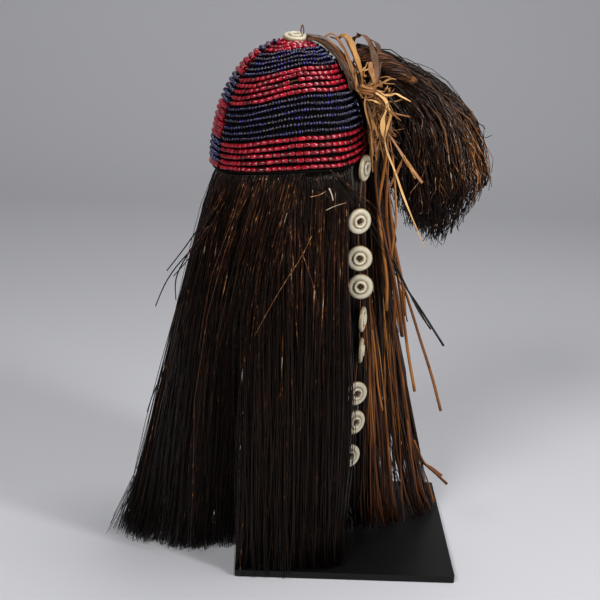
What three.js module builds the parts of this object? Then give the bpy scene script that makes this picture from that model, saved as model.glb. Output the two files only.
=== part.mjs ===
// A beaded headdress with a fibre fringe and tuft, on its steel stand.
// Millimetres, +Z up. The origin is the middle of the stand plate's underside.
// -Y is the near side, and the tuft hangs over towards +X.
import * as THREE from "three";

// Stand
const PLATE_SIDE = 250;
const PLATE_THICK = 8;
const PLATE_CORNER = 3;
const POST_RADIUS = 6;
const CRADLE_RADIUS = 34;
const CRADLE_DEPTH = 26;
const CRADLE_GAP = 2.4;
const FLOOR_GAP = 0.6;
const PLATE_MARGIN = 30;

// Cap: a dome on an oval plan, front at 180 degrees, near side at -90, back at 0
const CAP_X = -82;
const CAP_TURN = 10;
const CAP_LENGTH = 176;
const CAP_WIDTH = 152;
const DOME_BASE = 455;
const DOME_RISE = 136;
const DOME_POWER = 2.2;
const NET_OUTSIDE = 6.2;
const NET_THICK = 3;
const CLEAR = 0.5;

// Bead rows: row 1 runs round the rim, and the crown button sits inside the last one
const ROWS = 24;
const ROW_LOWEST = 459;
const ROW_CLIMB = 131;
const ROW_ARC = 84;
const SEAM_ANGLE = 158;
const SIDE_ANGLE = 80;
const BACK_ANGLE = 60;
const RIM_DIP = 9;
const MIDDLE_DIP = 16;
const BACK_CLIMB = 11;
const FRONT_ARCH = 4;
const SEAM_GAP = 0.4;
const VALLEY_DEPTH = 3.4;
const BAND_BACKING = 4.6;
const ROW_GAP = 0.03;

// The side panels stop short of the cap's back, by an angle that is widest at one row
const BACK_GAP = 6;
const PARTING = 26;
const PARTING_ROW = 13;
const PARTING_ROWS = 4.5;

// A hank leaves the rim this far below row 1, puffs out within the first part of its fall
// and then spreads. Its ridges stand out less at the rim than at its foot.
const RIM_DROP = 2.2;
const PUFF_FALL = 0.06;
const SPREAD_POWER = 1.15;
const FLUTE_TOP = 0.5;
const FLUTE_FOOT = 4;

// The tuft's cut ends stand out this far at its middle
const TUFT_TIPS = 30;

// Ties: flat strips, narrower at their far end, and their knot
const TIE_THICK = 1.2;
const TIE_TAPER = 0.35;
const TIE_KNOT = [9, 6, 9];

// Buttons and their string
const BUTTON_RADIUS = 14.7;
const BUTTON_THICK = 4.4;
const CROWN_BUTTON_RADIUS = 13.4;
const STRING_RADIUS = 0.8;
const KNOT_RADIUS = 3;

const RED = { color: 0xa81830, roughness: 0.3 };
const BLUE = { color: 0x14145c, roughness: 0.2 };
const CORD = { color: 0x1c120c, roughness: 0.9 };
const FIBRE = { color: 0x1a0f0a, roughness: 0.7 };
const RAFFIA = { color: 0x8a5a24, roughness: 0.8 };
const RAFFIA_TIE = { color: 0xc0975c, roughness: 0.8 };
const SHELL = { color: 0xc9c6b4, roughness: 0.45 };
const STEEL = { color: 0x080808, roughness: 0.4, metalness: 0.5 };

const radians = THREE.MathUtils.degToRad;
const mix = THREE.MathUtils.lerp;
const smoothstep = THREE.MathUtils.smoothstep;
const vector = (x, y, z) => new THREE.Vector3(x, y, z);
const steps = (count) => Array.from({ length: count + 1 }, (_, i) => i / count);
const uneven = (i) => (i * 0.618) % 1;

const model = new THREE.Group();
const stand = new THREE.Group();
const headdress = new THREE.Group();
stand.position.x = CAP_X;
headdress.position.x = CAP_X;
headdress.rotation.z = radians(CAP_TURN);
model.add(stand, headdress);

function add(group, name, geometry, finish) {
  const mesh = new THREE.Mesh(geometry, new THREE.MeshStandardMaterial(finish));
  mesh.name = name;
  group.add(mesh);
  return mesh;
}

// A closed mesh from its corners and triangles, turned so that its faces point out.
function closedMesh(corners, faces) {
  const cross = new THREE.Vector3();
  const volume = faces.reduce(
    (sum, [i, j, k]) => sum + corners[i].dot(cross.crossVectors(corners[j], corners[k])),
    0,
  );
  const turned = volume > 0 ? faces : faces.map(([i, j, k]) => [i, k, j]);
  const geometry = new THREE.BufferGeometry().setFromPoints(corners);
  geometry.setIndex(turned.flat());
  geometry.computeVertexNormals();
  return geometry;
}

// The triangles that close a section, counter-clockwise round the section's own direction.
function sectionFaces(section) {
  const along = new THREE.Vector3();
  const cross = new THREE.Vector3();
  section.forEach((corner, i) => {
    along.add(cross.crossVectors(corner, section[(i + 1) % section.length]));
  });
  along.normalize();
  const guide = Math.abs(along.z) > 0.7 ? vector(1, 0, 0) : vector(0, 0, 1);
  const side = vector(0, 0, 0).crossVectors(guide, along).normalize();
  const up = vector(0, 0, 0).crossVectors(along, side);
  const flat = section.map((corner) => new THREE.Vector2(corner.dot(side), corner.dot(up)));
  return THREE.ShapeUtils.triangulateShape(flat, []).map(([i, j, k]) => {
    const ahead = THREE.ShapeUtils.area([flat[i], flat[j], flat[k]]) > 0;
    return ahead ? [i, j, k] : [i, k, j];
  });
}

// A solid through a row of sections, each with the same number of corners, closed at both ends.
function loft(sections) {
  const count = sections[0].length;
  const corners = sections.flat();
  const last = corners.length - count;
  const faces = [];
  for (let start = 0; start < last; start += count) {
    for (let i = 0; i < count; i++) {
      const next = (i + 1) % count;
      faces.push([start + i, start + next, start + count + next]);
      faces.push([start + i, start + count + next, start + count + i]);
    }
  }
  for (const [i, j, k] of sectionFaces(sections[0])) {
    faces.push([i, k, j]);
  }
  for (const face of sectionFaces(sections.at(-1))) {
    faces.push(face.map((i) => i + last));
  }
  return closedMesh(corners, faces);
}

// A solid turned about the Z axis from (radius, height) points.
function turned(points, segments) {
  const profile = points.map(([radius, height]) => new THREE.Vector2(radius, height));
  return new THREE.LatheGeometry(profile, segments).rotateX(Math.PI / 2);
}

// A point on the cap, at an angle round it and a height, and so far outside its surface.
function capPoint(angle, z, outside) {
  const height = Math.max(0, (z - DOME_BASE) / DOME_RISE);
  const spread = Math.sqrt(1 - height ** DOME_POWER);
  const x = (CAP_LENGTH / 2) * Math.cos(radians(angle)) * spread;
  const y = (CAP_WIDTH / 2) * Math.sin(radians(angle)) * spread;
  const rise = (DOME_POWER * height ** (DOME_POWER - 1)) / (2 * DOME_RISE);
  const normal = vector(x / (CAP_LENGTH / 2) ** 2, y / (CAP_WIDTH / 2) ** 2, rise).normalize();
  return vector(x, y, z).addScaledVector(normal, outside);
}

// The height of a bead row at an angle. Rows dip to the two front seams, arch a little
// across the front strip, and the lower ones climb towards the back.
function rowHeight(row, angle) {
  const up = (row - 0.5) / ROWS;
  const round = Math.abs(angle) > 180 ? 360 - Math.abs(angle) : Math.abs(angle);
  const side = smoothstep(SEAM_ANGLE - round, 0, SEAM_ANGLE - SIDE_ANGLE);
  const dip = (RIM_DIP * (1 - up) + MIDDLE_DIP * Math.sin(Math.PI * up)) * (1 - side);
  const climb = BACK_CLIMB * (1 - up) ** 3 * smoothstep(BACK_ANGLE - round, 0, BACK_ANGLE);
  const front = Math.max(0, (round - SEAM_ANGLE) / (180 - SEAM_ANGLE));
  const arch = FRONT_ARCH * Math.sin(Math.PI * up) * front;
  return ROW_LOWEST + ROW_CLIMB * Math.sin(radians(ROW_ARC * up)) - dip + climb + arch;
}

function rowPoint(row, angle, outside) {
  return capPoint(angle, rowHeight(row, angle), outside);
}

// The angle from the cap's back at which a side panel's row ends.
function panelEnd(row) {
  return BACK_GAP + PARTING * Math.exp(-(((row - PARTING_ROW) / PARTING_ROWS) ** 2));
}

// The netted cap, a shell open below.
function capNet() {
  const angles = steps(20).slice(1).map((f) => f * 360 - 180);
  const ringRows = [0.45, 4, 9, 14, 19, 24];
  const ring = (row, inside) => angles.map((angle) => rowPoint(row, angle, -inside));
  const outer = ringRows.map((row) => ring(row, NET_OUTSIDE));
  const inner = ringRows.map((row) => ring(row, NET_OUTSIDE + NET_THICK));
  return loft([...inner.reverse(), ...outer]);
}

// A band of bead rows, ridged once a row, with a smooth back that follows the net. It runs
// from an angle to the angle at which each row ends.
function beadBand(firstRow, lastRow, fromAngle, endAngle, segments) {
  const low = firstRow - 0.5 + ROW_GAP;
  const high = lastRow + 0.5 - ROW_GAP;
  const backing = Math.ceil((lastRow - firstRow + 1) / 2);
  const section = (along) => {
    const place = (row, depth) => rowPoint(row, mix(fromAngle, endAngle(row), along), -depth);
    const ridges = [place(low, VALLEY_DEPTH)];
    for (let row = firstRow; row <= lastRow; row++) {
      ridges.push(place(row, 0));
      ridges.push(place(Math.min(row + 0.5, high), VALLEY_DEPTH));
    }
    const back = steps(backing).map((f) => place(mix(high, low, f), BAND_BACKING));
    return [...ridges, ...back];
  };
  return loft(steps(segments).map(section));
}

// The bands change colour on the front strip: it counterchanges the side panels.
function addBeads() {
  const sideBands = [
    ["red_rim", 1, 5, RED],
    ["blue_low", 6, 11, BLUE],
    ["red_middle", 12, 16, RED],
    ["blue_high", 17, 21, BLUE],
    ["red_crown", 22, 24, RED],
  ];
  const frontBands = [
    ["red_rim", 1, 1, RED],
    ["blue_low", 2, 5, BLUE],
    ["red_low", 6, 11, RED],
    ["blue_middle", 12, 16, BLUE],
    ["red_high", 17, 21, RED],
    ["blue_crown", 22, 24, BLUE],
  ];
  for (const [label, first, last, finish] of sideBands) {
    const near = beadBand(first, last, -SEAM_ANGLE, (row) => -panelEnd(row), 10);
    const far = beadBand(first, last, SEAM_ANGLE, panelEnd, 10);
    add(headdress, "beads_near_" + label, near, finish);
    add(headdress, "beads_far_" + label, far, finish);
  }
  const frontStart = SEAM_ANGLE + SEAM_GAP;
  for (const [label, first, last, finish] of frontBands) {
    const strip = beadBand(first, last, frontStart, () => 360 - frontStart, 4);
    add(headdress, "beads_front_" + label, strip, finish);
  }
}

// The floor under a point: the plate's top where the plate is, else the ground.
function groundUnder(point) {
  const world = point.clone().applyMatrix4(headdress.matrix);
  const reach = PLATE_SIDE / 2 + PLATE_MARGIN;
  const onPlate = Math.abs(world.x) < reach && Math.abs(world.y) < reach;
  return (onPlate ? PLATE_THICK : 0) + FLOOR_GAP;
}

// A hank of fibre that hangs from the rim, between two angles, to a line on the ground
// through three foot points. It puffs out under the rim, and then spreads on the way down.
// Its thickness lies towards a point on the ground inside the fringe.
function hank({ from, to, foot, towards, thick, puff, flutes, ends }) {
  const [start, middle, end] = foot.map(([x, y]) => new THREE.Vector2(x, y));
  const control = middle.multiplyScalar(2).sub(start.clone().lerp(end, 0.5));
  const footLine = new THREE.QuadraticBezierCurve(start, control, end);
  const place = (across, down) => {
    const angle = mix(from, to, across);
    const top = rowPoint(0.5, angle, -thick.top / 2 + 1);
    const bottom = footLine.getPoint(across);
    const spread = puff * (1 - Math.exp(-down / PUFF_FALL)) + (1 - puff) * down ** SPREAD_POWER;
    const x = mix(top.x, bottom.x, spread);
    const y = mix(top.y, bottom.y, spread);
    return vector(x, y, mix(top.z - RIM_DROP, 0, down));
  };
  const point = (across, down, depth) => {
    const here = place(across, down);
    const inward = vector(towards[0] * down - here.x, towards[1] * down - here.y, 0);
    return here.addScaledVector(inward.normalize(), depth);
  };
  const section = (down) => {
    const outer = steps(2 * flutes).map((across, i) => {
      const corner = point(across, down, i % 2 ? 0 : mix(FLUTE_TOP, FLUTE_FOOT, down));
      const tip = down === 1 ? groundUnder(corner) + ends * uneven(i) : corner.z;
      return corner.setZ(Math.max(tip, groundUnder(corner)));
    });
    const inner = steps(Math.ceil(flutes / 2)).reverse().map((across) => {
      const corner = point(across, down, mix(thick.top, thick.foot, down));
      return corner.setZ(Math.max(corner.z, groundUnder(corner)));
    });
    return [...outer, ...inner];
  };
  return loft([0, 0.1, 0.34, 0.68, 1].map(section));
}

function addFringe() {
  const dark = { thick: { top: 9, foot: 36 }, puff: 0.09, flutes: 10, ends: 14 };
  const light = { thick: { top: 9, foot: 28 }, puff: 0.17, flutes: 9, ends: 20 };
  const middle = [0, 0];
  const front = [-90, 40];
  const back = [110, 40];
  const hanks = [
    ["near_back", -48, -95, [[57, -119], [30, -124], [-1, -122]], middle],
    ["near_front", -97, -146, [[-3, -122], [-30, -119], [-58, -105]], middle],
    ["front_near", -149, -179, [[-56, -43], [-110, -44], [-160, -19]], front],
    ["front_far", -181, -212, [[-163, -16], [-178, 18], [-156, 60]], front],
    ["far_front", -214, -263, [[-154, 63], [-118, 112], [-50, 118]], front],
    ["far_back", -265, -314, [[-47, 118], [20, 126], [80, 104]], middle],
  ];
  const curtains = [
    ["near", -41, -3, [[80, -36], [112, -36], [150, -26]], back],
    ["far", 2, 43, [[154, -24], [206, 26], [150, 92]], back],
  ];
  for (const [label, from, to, foot, towards] of hanks) {
    add(headdress, "fringe_" + label, hank({ ...dark, from, to, foot, towards }), FIBRE);
  }
  for (const [label, from, to, foot, towards] of curtains) {
    add(headdress, "raffia_" + label, hank({ ...light, from, to, foot, towards }), RAFFIA);
  }
}

// A section of the tuft, fluted, between its outer and inner outlines at one place along it.
function tuftSection(outer, inner, fullness, flutes, tips) {
  const middle = outer.clone().lerp(inner, 0.5);
  const half = outer.clone().sub(inner).multiplyScalar(0.5);
  const ahead = vector(half.z, 0, -half.x).normalize();
  return Array.from({ length: 2 * flutes }, (_, i) => {
    const turn = (Math.PI * i) / flutes;
    const groove = i % 2 ? 0.93 : 1;
    const corner = middle.clone().addScaledVector(half, Math.cos(turn) * groove);
    corner.y += half.length() * fullness * Math.sin(turn) * groove;
    return corner.addScaledVector(ahead, tips * (0.4 * uneven(i) + Math.abs(Math.sin(turn))));
  });
}

// The tuft: a thick bunch that leaves the crown's back, bends over and hangs.
function addTuft() {
  const bunch = [
    [[70, 582], [90, 536], 0.85],
    [[109, 573], [96, 529], 1.05],
    [[147, 556], [101, 520], 1],
    [[183, 533], [104, 505], 0.85],
    [[212, 498], [108, 485], 0.8],
    [[227, 460], [114, 455], 0.78],
    [[235, 434], [121, 428], 0.78],
    [[229, 420], [134, 402], 0.75],
  ];
  const binding = [
    [[56, 583], [85, 538], 0.8],
    [[62, 588], [89, 533.5], 0.95],
    [[69.4, 582.5], [89.4, 536.5], 0.8],
  ];
  const point = ([x, z]) => vector(x, 0, z);
  const sections = (shape, flutes, cutEnd) => shape.map(([outer, inner, fullness], i) => {
    const tips = i === shape.length - 1 ? cutEnd : 0;
    return tuftSection(point(outer), point(inner), fullness, flutes, tips);
  });
  add(headdress, "tuft", loft(sections(bunch, 12, TUFT_TIPS)), FIBRE);
  add(headdress, "tuft_binding", loft(sections(binding, 7, 0)), RAFFIA);
}

// A flat raffia strip along a curve. It faces the given way at each end.
function strip(points, width, thick, facing) {
  const curve = new THREE.CatmullRomCurve3(points.map(([x, y, z]) => vector(x, y, z)));
  const sections = steps(9).map((f) => {
    const centre = curve.getPointAt(f);
    const along = curve.getTangentAt(f);
    const out = vector(...facing);
    const side = vector(0, 0, 0).crossVectors(along, out).normalize();
    out.crossVectors(side, along);
    const half = (width / 2) * (1 - TIE_TAPER * f);
    return [[-1, -1], [1, -1], [1, 1], [-1, 1]].map(([across, up]) => {
      const corner = centre.clone().addScaledVector(side, across * half);
      return corner.addScaledVector(out, (up * thick) / 2);
    });
  });
  return loft(sections);
}

// Raffia strips that loop over the crown's back edge, their knot and its hanging ends.
function addTies() {
  const edge = [[17, -8, 595.5], [34, -12, 591], [50, -18, 580], [62, -27, 562], [70, -36, 536]];
  const frontLoop = [[36, -2, 594], [44, -8, 600], [55, -18, 589], [62, -31, 570], [68, -39, 552]];
  const middleLoop = [[49, 6, 588], [56, 5, 599], [67, -6, 592], [73, -22, 574], [73.5, -35, 555]];
  const highLoop = [
    [60, 18, 583], [71, 16, 600], [84, 0, 598], [92, -18, 585], [92, -33, 566], [84, -42, 552],
  ];
  const backStrip = [[74, -41, 528], [79, -42, 510], [84, -42, 492], [87, -42, 476]];
  const longEnd = [
    [84, -50, 537], [95, -52, 532], [98, -53, 518], [94, -53, 500], [99, -54, 474],
    [113, -56, 445], [128, -59, 411], [148, -62, 370],
  ];
  const wideEnd = [[80, -55, 531], [90, -58, 515], [99, -60, 498], [114, -62, 478], [142, -64, 445]];
  const strips = [
    ["edge", edge, 7],
    ["loop_front", frontLoop, 6],
    ["loop_middle", middleLoop, 6],
    ["loop_high", highLoop, 6],
    ["back_strip", backStrip, 5],
    ["end_long", longEnd, 6],
    ["end_wide", wideEnd, 11],
    ["end_thin", [[73, -52, 530], [75, -53, 508], [81, -53, 466]], 3],
    ["end_upper", [[83, -49, 546], [92, -50, 553], [106, -52, 556]], 5],
    ["end_side", [[86, -50, 541], [100, -53, 539], [122, -56, 529]], 5],
  ];
  for (const [label, points, width] of strips) {
    add(headdress, "tie_" + label, strip(points, width, TIE_THICK, [0.4, -0.8, 0.4]), RAFFIA_TIE);
  }
  const knot = add(headdress, "tie_knot", new THREE.SphereGeometry(1, 10, 6), RAFFIA_TIE);
  knot.scale.set(...TIE_KNOT);
  knot.position.set(75, -47, 541);
}

// A large coat button: rolled edge, a groove, an inner ring and a dished middle.
function buttonGeometry(radius) {
  const outline = [[0, 0], [1, 0.1], [1, 0.66], [0.64, 1], [0.52, 0.68], [0.4, 0.92], [0, 0.58]];
  const points = outline.map(([across, up]) => [across * radius, up * BUTTON_THICK]);
  return turned(points, 12);
}

// A button whose back meets a point, facing the given way.
function addButton(group, name, radius, back, facing) {
  const button = add(group, name, buttonGeometry(radius), SHELL);
  button.quaternion.setFromUnitVectors(vector(0, 0, 1), facing.clone().normalize());
  button.position.copy(back);
}

// The string hangs from the rim to its end knot. Each button has its back to the string.
const STRING_ROUTE = [
  [-0.4, -27.3, 463], [-0.4, -27.3, 452], [-0.4, -27.8, 441], [-1, -31.5, 430],
  [-1.9, -34.8, 419], [-2.4, -36, 409], [-2.6, -36.3, 398], [-1.8, -36.4, 385],
  [-0.4, -36.5, 371], [1, -36.5, 356], [2.6, -36.5, 340], [4.2, -36.5, 323],
  [5.4, -36.5, 304], [6.2, -36.5, 285], [6.6, -36.5, 266], [6.5, -36.5, 247],
  [5.9, -36.5, 229], [5.3, -36.5, 211], [5, -36.5, 194], [5.3, -36.5, 176],
  [5.3, -36.5, 157], [3.8, -36.5, 136], [1.4, -36.5, 115], [0.2, -36.5, 100],
];
const BUTTON_PLACES = [
  { z: 398, turn: 24 },
  { z: 355, turn: 2 },
  { z: 322, turn: -2 },
  { z: 283.5, turn: 76 },
  { z: 246, turn: 82 },
  { z: 193.5, turn: 28 },
  { z: 157.5, turn: 36 },
  { z: 115.5, turn: 30 },
];

// A round cord along a curve.
function cord(curve, count, sides) {
  const section = new THREE.Shape().absarc(0, 0, STRING_RADIUS, 0, 2 * Math.PI);
  const curveSegments = sides / 2;
  return new THREE.ExtrudeGeometry(section, { steps: count, curveSegments, extrudePath: curve });
}

function addButtons() {
  const rimPlace = (outside) => capPoint(-32, DOME_BASE, outside);
  const facing = rimPlace(1).sub(rimPlace(0));
  addButton(headdress, "button_1", BUTTON_RADIUS, rimPlace(2.6), facing);

  const route = new THREE.CatmullRomCurve3(STRING_ROUTE.map((point) => vector(...point)));
  const places = steps(400).map((f) => route.getPointAt(f));
  add(model, "button_string", cord(route, 40, 8), CORD);
  BUTTON_PLACES.forEach(({ z, turn }, i) => {
    const way = vector(Math.sin(radians(turn)), -Math.cos(radians(turn)), 0);
    const back = places.find((place) => place.z <= z).clone();
    back.addScaledVector(way, STRING_RADIUS + CLEAR);
    addButton(model, "button_" + (i + 2), BUTTON_RADIUS, back, way);
  });
  const knot = add(model, "string_knot", new THREE.SphereGeometry(KNOT_RADIUS, 10, 6), CORD);
  knot.position.copy(places.at(-1));
  knot.position.z -= KNOT_RADIUS + CLEAR;

  const crown = DOME_BASE + DOME_RISE - 1;
  addButton(headdress, "crown_button", CROWN_BUTTON_RADIUS, vector(2, 0, crown), vector(0, 0, 1));
  const loop = [[3.4, -2, 5], [8, -2.4, 10], [12.4, -1.6, 13.6], [10.4, 0, 9], [5.4, 1.4, 5.4]];
  const arc = new THREE.CatmullRomCurve3(loop.map(([x, y, up]) => vector(x, y, crown + up)));
  add(headdress, "crown_loop", cord(arc, 10, 6), CORD);
}

function addStand() {
  const half = PLATE_SIDE / 2;
  const corner = half - PLATE_CORNER;
  const outline = new THREE.Shape();
  outline.absarc(corner, corner, PLATE_CORNER, 0, Math.PI / 2);
  outline.absarc(-corner, corner, PLATE_CORNER, Math.PI / 2, Math.PI);
  outline.absarc(-corner, -corner, PLATE_CORNER, Math.PI, 1.5 * Math.PI);
  outline.absarc(corner, -corner, PLATE_CORNER, 1.5 * Math.PI, 2 * Math.PI);
  const plate = new THREE.ExtrudeGeometry(outline, {
    depth: PLATE_THICK,
    bevelEnabled: false,
    curveSegments: 4,
  });
  add(model, "stand_plate", plate, STEEL);

  const underNet = -NET_OUTSIDE - NET_THICK - CRADLE_GAP;
  const cradleTop = steps(5).map((f) => {
    const under = capPoint(-90, DOME_BASE + DOME_RISE * mix(1, 0.8, f ** 2), underNet);
    return [Math.abs(under.y), under.z];
  });
  const fitting = cradleTop.filter(([radius]) => radius < CRADLE_RADIUS);
  const low = Math.round(fitting.at(-1)[1] - CRADLE_DEPTH / 2);
  const cradle = turned([[0, low], [CRADLE_RADIUS * 0.6, low], ...fitting.reverse()], 16);
  add(stand, "stand_cradle", cradle, CORD);

  const round = new THREE.Shape().absarc(0, 0, POST_RADIUS, 0, 2 * Math.PI);
  const post = new THREE.ExtrudeGeometry(round, {
    depth: low - PLATE_THICK,
    bevelEnabled: false,
    curveSegments: 8,
  });
  const rod = add(stand, "stand_post", post, STEEL);
  rod.position.z = PLATE_THICK;
}

headdress.updateMatrix();
add(headdress, "cap_net", capNet(), CORD);
addBeads();
addFringe();
addTuft();
addTies();
addButtons();
addStand();

export default model;
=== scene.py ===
"""A beaded headdress on its steel stand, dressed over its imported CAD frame.

The file is laid out as an add-on and run as a script. Shapes are worked out in
millimetres, in the headdress's own directions, and placed in the frame in metres.
"""
import math
import zlib

import bpy
import numpy as np
from mathutils import Matrix, Vector


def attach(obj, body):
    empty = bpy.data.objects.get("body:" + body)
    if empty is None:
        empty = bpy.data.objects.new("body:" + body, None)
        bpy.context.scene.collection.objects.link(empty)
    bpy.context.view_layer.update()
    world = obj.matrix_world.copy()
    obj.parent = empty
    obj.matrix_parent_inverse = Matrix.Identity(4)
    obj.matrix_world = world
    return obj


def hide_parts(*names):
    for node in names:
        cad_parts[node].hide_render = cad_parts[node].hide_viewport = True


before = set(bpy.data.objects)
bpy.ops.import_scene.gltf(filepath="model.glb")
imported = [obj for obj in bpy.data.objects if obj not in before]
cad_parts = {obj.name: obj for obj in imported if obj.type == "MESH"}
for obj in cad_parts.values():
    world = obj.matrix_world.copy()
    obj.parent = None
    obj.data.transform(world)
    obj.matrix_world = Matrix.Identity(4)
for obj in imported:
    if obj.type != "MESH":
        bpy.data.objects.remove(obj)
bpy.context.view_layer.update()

bl_info = {
    "name": "Beaded headdress",
    "version": (1, 0, 0),
    "blender": (4, 5, 0),
    "location": "View3D > Sidebar > Headdress",
    "description": "Builds a beaded headdress with a fibre fringe, on its stand",
    "category": "Object",
}

MM = 0.001

# Cap: a dome on an oval plan, front at 180 degrees, near side at -90, back at 0
CAP_X = -82
CAP_TURN = 10
CAP_LENGTH = 176
CAP_WIDTH = 152
DOME_BASE = 455
DOME_RISE = 136
DOME_POWER = 2.2
NET_OUTSIDE = 6.2
NET_THICK = 3
NET_LEAN = 70
CORD_INSIDE = 5.1
CORD_RADIUS = 0.75
RIM_CORD_RADIUS = 1.25
UP = (0, 0, 1)

# Bead rows: row 1 runs round the rim, and the crown button sits inside the last one
ROWS = 24
ROW_LOWEST = 459
ROW_CLIMB = 131
ROW_ARC = 84
SEAM_ANGLE = 158
SIDE_ANGLE = 80
BACK_ANGLE = 60
RIM_DIP = 9
MIDDLE_DIP = 16
BACK_CLIMB = 11
FRONT_ARCH = 4
SEAM_GAP = 0.4
BACK_GAP = 6
PARTING = 26
PARTING_ROW = 13
PARTING_ROWS = 4.5
ROW_WANDER = 0.35

SIDE_BANDS = {
    "red_rim": (1, 5),
    "blue_low": (6, 11),
    "red_middle": (12, 16),
    "blue_high": (17, 21),
    "red_crown": (22, 24),
}
FRONT_BANDS = {
    "red_rim": (1, 1),
    "blue_low": (2, 5),
    "red_low": (6, 11),
    "blue_middle": (12, 16),
    "red_high": (17, 21),
    "blue_crown": (22, 24),
}

# Where a bead of the near panel is missing, and where two stand apart: the row and the angle
LOST_BEAD = (14, -98.4)
WIDE_GAP = (4, -52.9)
WIDE_GAP_EXTRA = 2
# Where a row's first bead starts, the angles where the red beads grow short, and how much
# larger the front's beads are
ROW_START = 0.3
SHORT_FROM = 120
SHORT_WITHIN = 30
FRONT_SWELL = 1.36
ROW_POINTS = 400
THREAD_POINTS = 40

# The stand's plate
PLATE_SIDE = 250
PLATE_THICK = 8
PLATE_EDGE = 0.7

# Hanks of fibre: how far they start under the rim, and how they spread on the way down
RIM_DROP = 2.2
SPREAD_POWER = 1.15

# How a hank's strands lie: its depth at the top and at the foot, how far and how soon it puffs out,
# its strands' frizz, lift and splay, and how far it is set in under the rim
DARK_HANK = {
    "top": 9, "foot": 36, "puff": 0.09, "fall": 0.06, "frizz": 2.6, "lift": 16, "splay": 2, "inset": 0,
}
FRONT_HANK = {**DARK_HANK, "splay": 6, "inset": 6}
LIGHT_HANK = {
    "top": 9, "foot": 28, "puff": 0.17, "fall": 0.06, "frizz": 1.8, "lift": 7, "splay": 4, "inset": 0,
}
LEANING_HANK = {
    "top": 4, "foot": 22, "puff": 0.6, "fall": 0.3, "frizz": 2.4, "lift": 20, "splay": 0, "inset": 0,
}
# The shares of strands that reach the ground, break, lift off and splay at the foot
TO_GROUND = 0.55
BROKEN = 0.16
LIFTED = 0.12
LOCKS_LIFTED = 0.3
SPLAYED = 0.6
MOST_SPLAY = 14
OVERLAP = 0.03
BACK_SWELL = 11
CURTAIN_GAP = 15
# How far down each point of a near or far strand is
NEAR_DOWNS = (0, 0.02, 0.05, 0.1, 0.16, 0.23, 0.32, 0.44, 0.58, 0.74, 0.88, 1)
FAR_DOWNS = (0, 0.03, 0.1, 0.24, 0.42, 0.62, 0.82, 1)

# Each hank: its angles at the rim, the three points that its foot line goes through, and the
# point that its depth goes towards
MIDDLE = (0, 0)
FRONT = (-90, 40)
BACK = (110, 40)
FRINGE = {
    "near_back": (-48, -95, [(57, -119), (30, -124), (-1, -122)], MIDDLE),
    "near_front": (-95, -132, [(-3, -122), (-30, -119), (-58, -105)], MIDDLE),
    "front_near": (-134, -179, [(-56, -43), (-110, -44), (-160, -19)], FRONT),
    "front_far": (-181, -212, [(-163, -16), (-178, 18), (-156, 60)], FRONT),
    "far_front": (-214, -263, [(-154, 63), (-118, 112), (-50, 118)], FRONT),
    "far_back": (-265, -314, [(-47, 118), (20, 126), (80, 104)], MIDDLE),
}
# Strands that lean across the near side towards the front
LEANING = (-88, -160, [(-62, -106), (-110, -84), (-158, -42)], MIDDLE)
CURTAIN = {
    "near": (-41, -3, [(80, -36), (112, -36), (150, -26)], BACK),
    "far": (2, 43, [(154, -24), (206, 26), (150, 92)], BACK),
}

# The tuft's outer and inner outlines, as distances from the cap's middle and heights,
# and its half width across as a share of its half depth
TUFT = [
    ((70, 582), (90, 536), 0.85),
    ((109, 573), (96, 529), 1.05),
    ((147, 556), (101, 520), 1.0),
    ((183, 533), (104, 505), 0.85),
    ((212, 498), (105, 485), 0.8),
    ((227, 460), (107, 455), 0.78),
    ((235, 436), (110, 430), 0.78),
    ((231, 420), (116, 402), 0.75),
]
# Where the tuft's strands end: distances from the cap's middle and heights
TUFT_END = [
    (108, 466), (116, 450), (124, 433), (131, 417), (140, 401), (150, 387), (160, 379), (174, 375),
    (184, 382), (194, 396), (204, 410), (212, 421), (220, 431), (234, 438),
]
TUFT_FINE = 40

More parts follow.
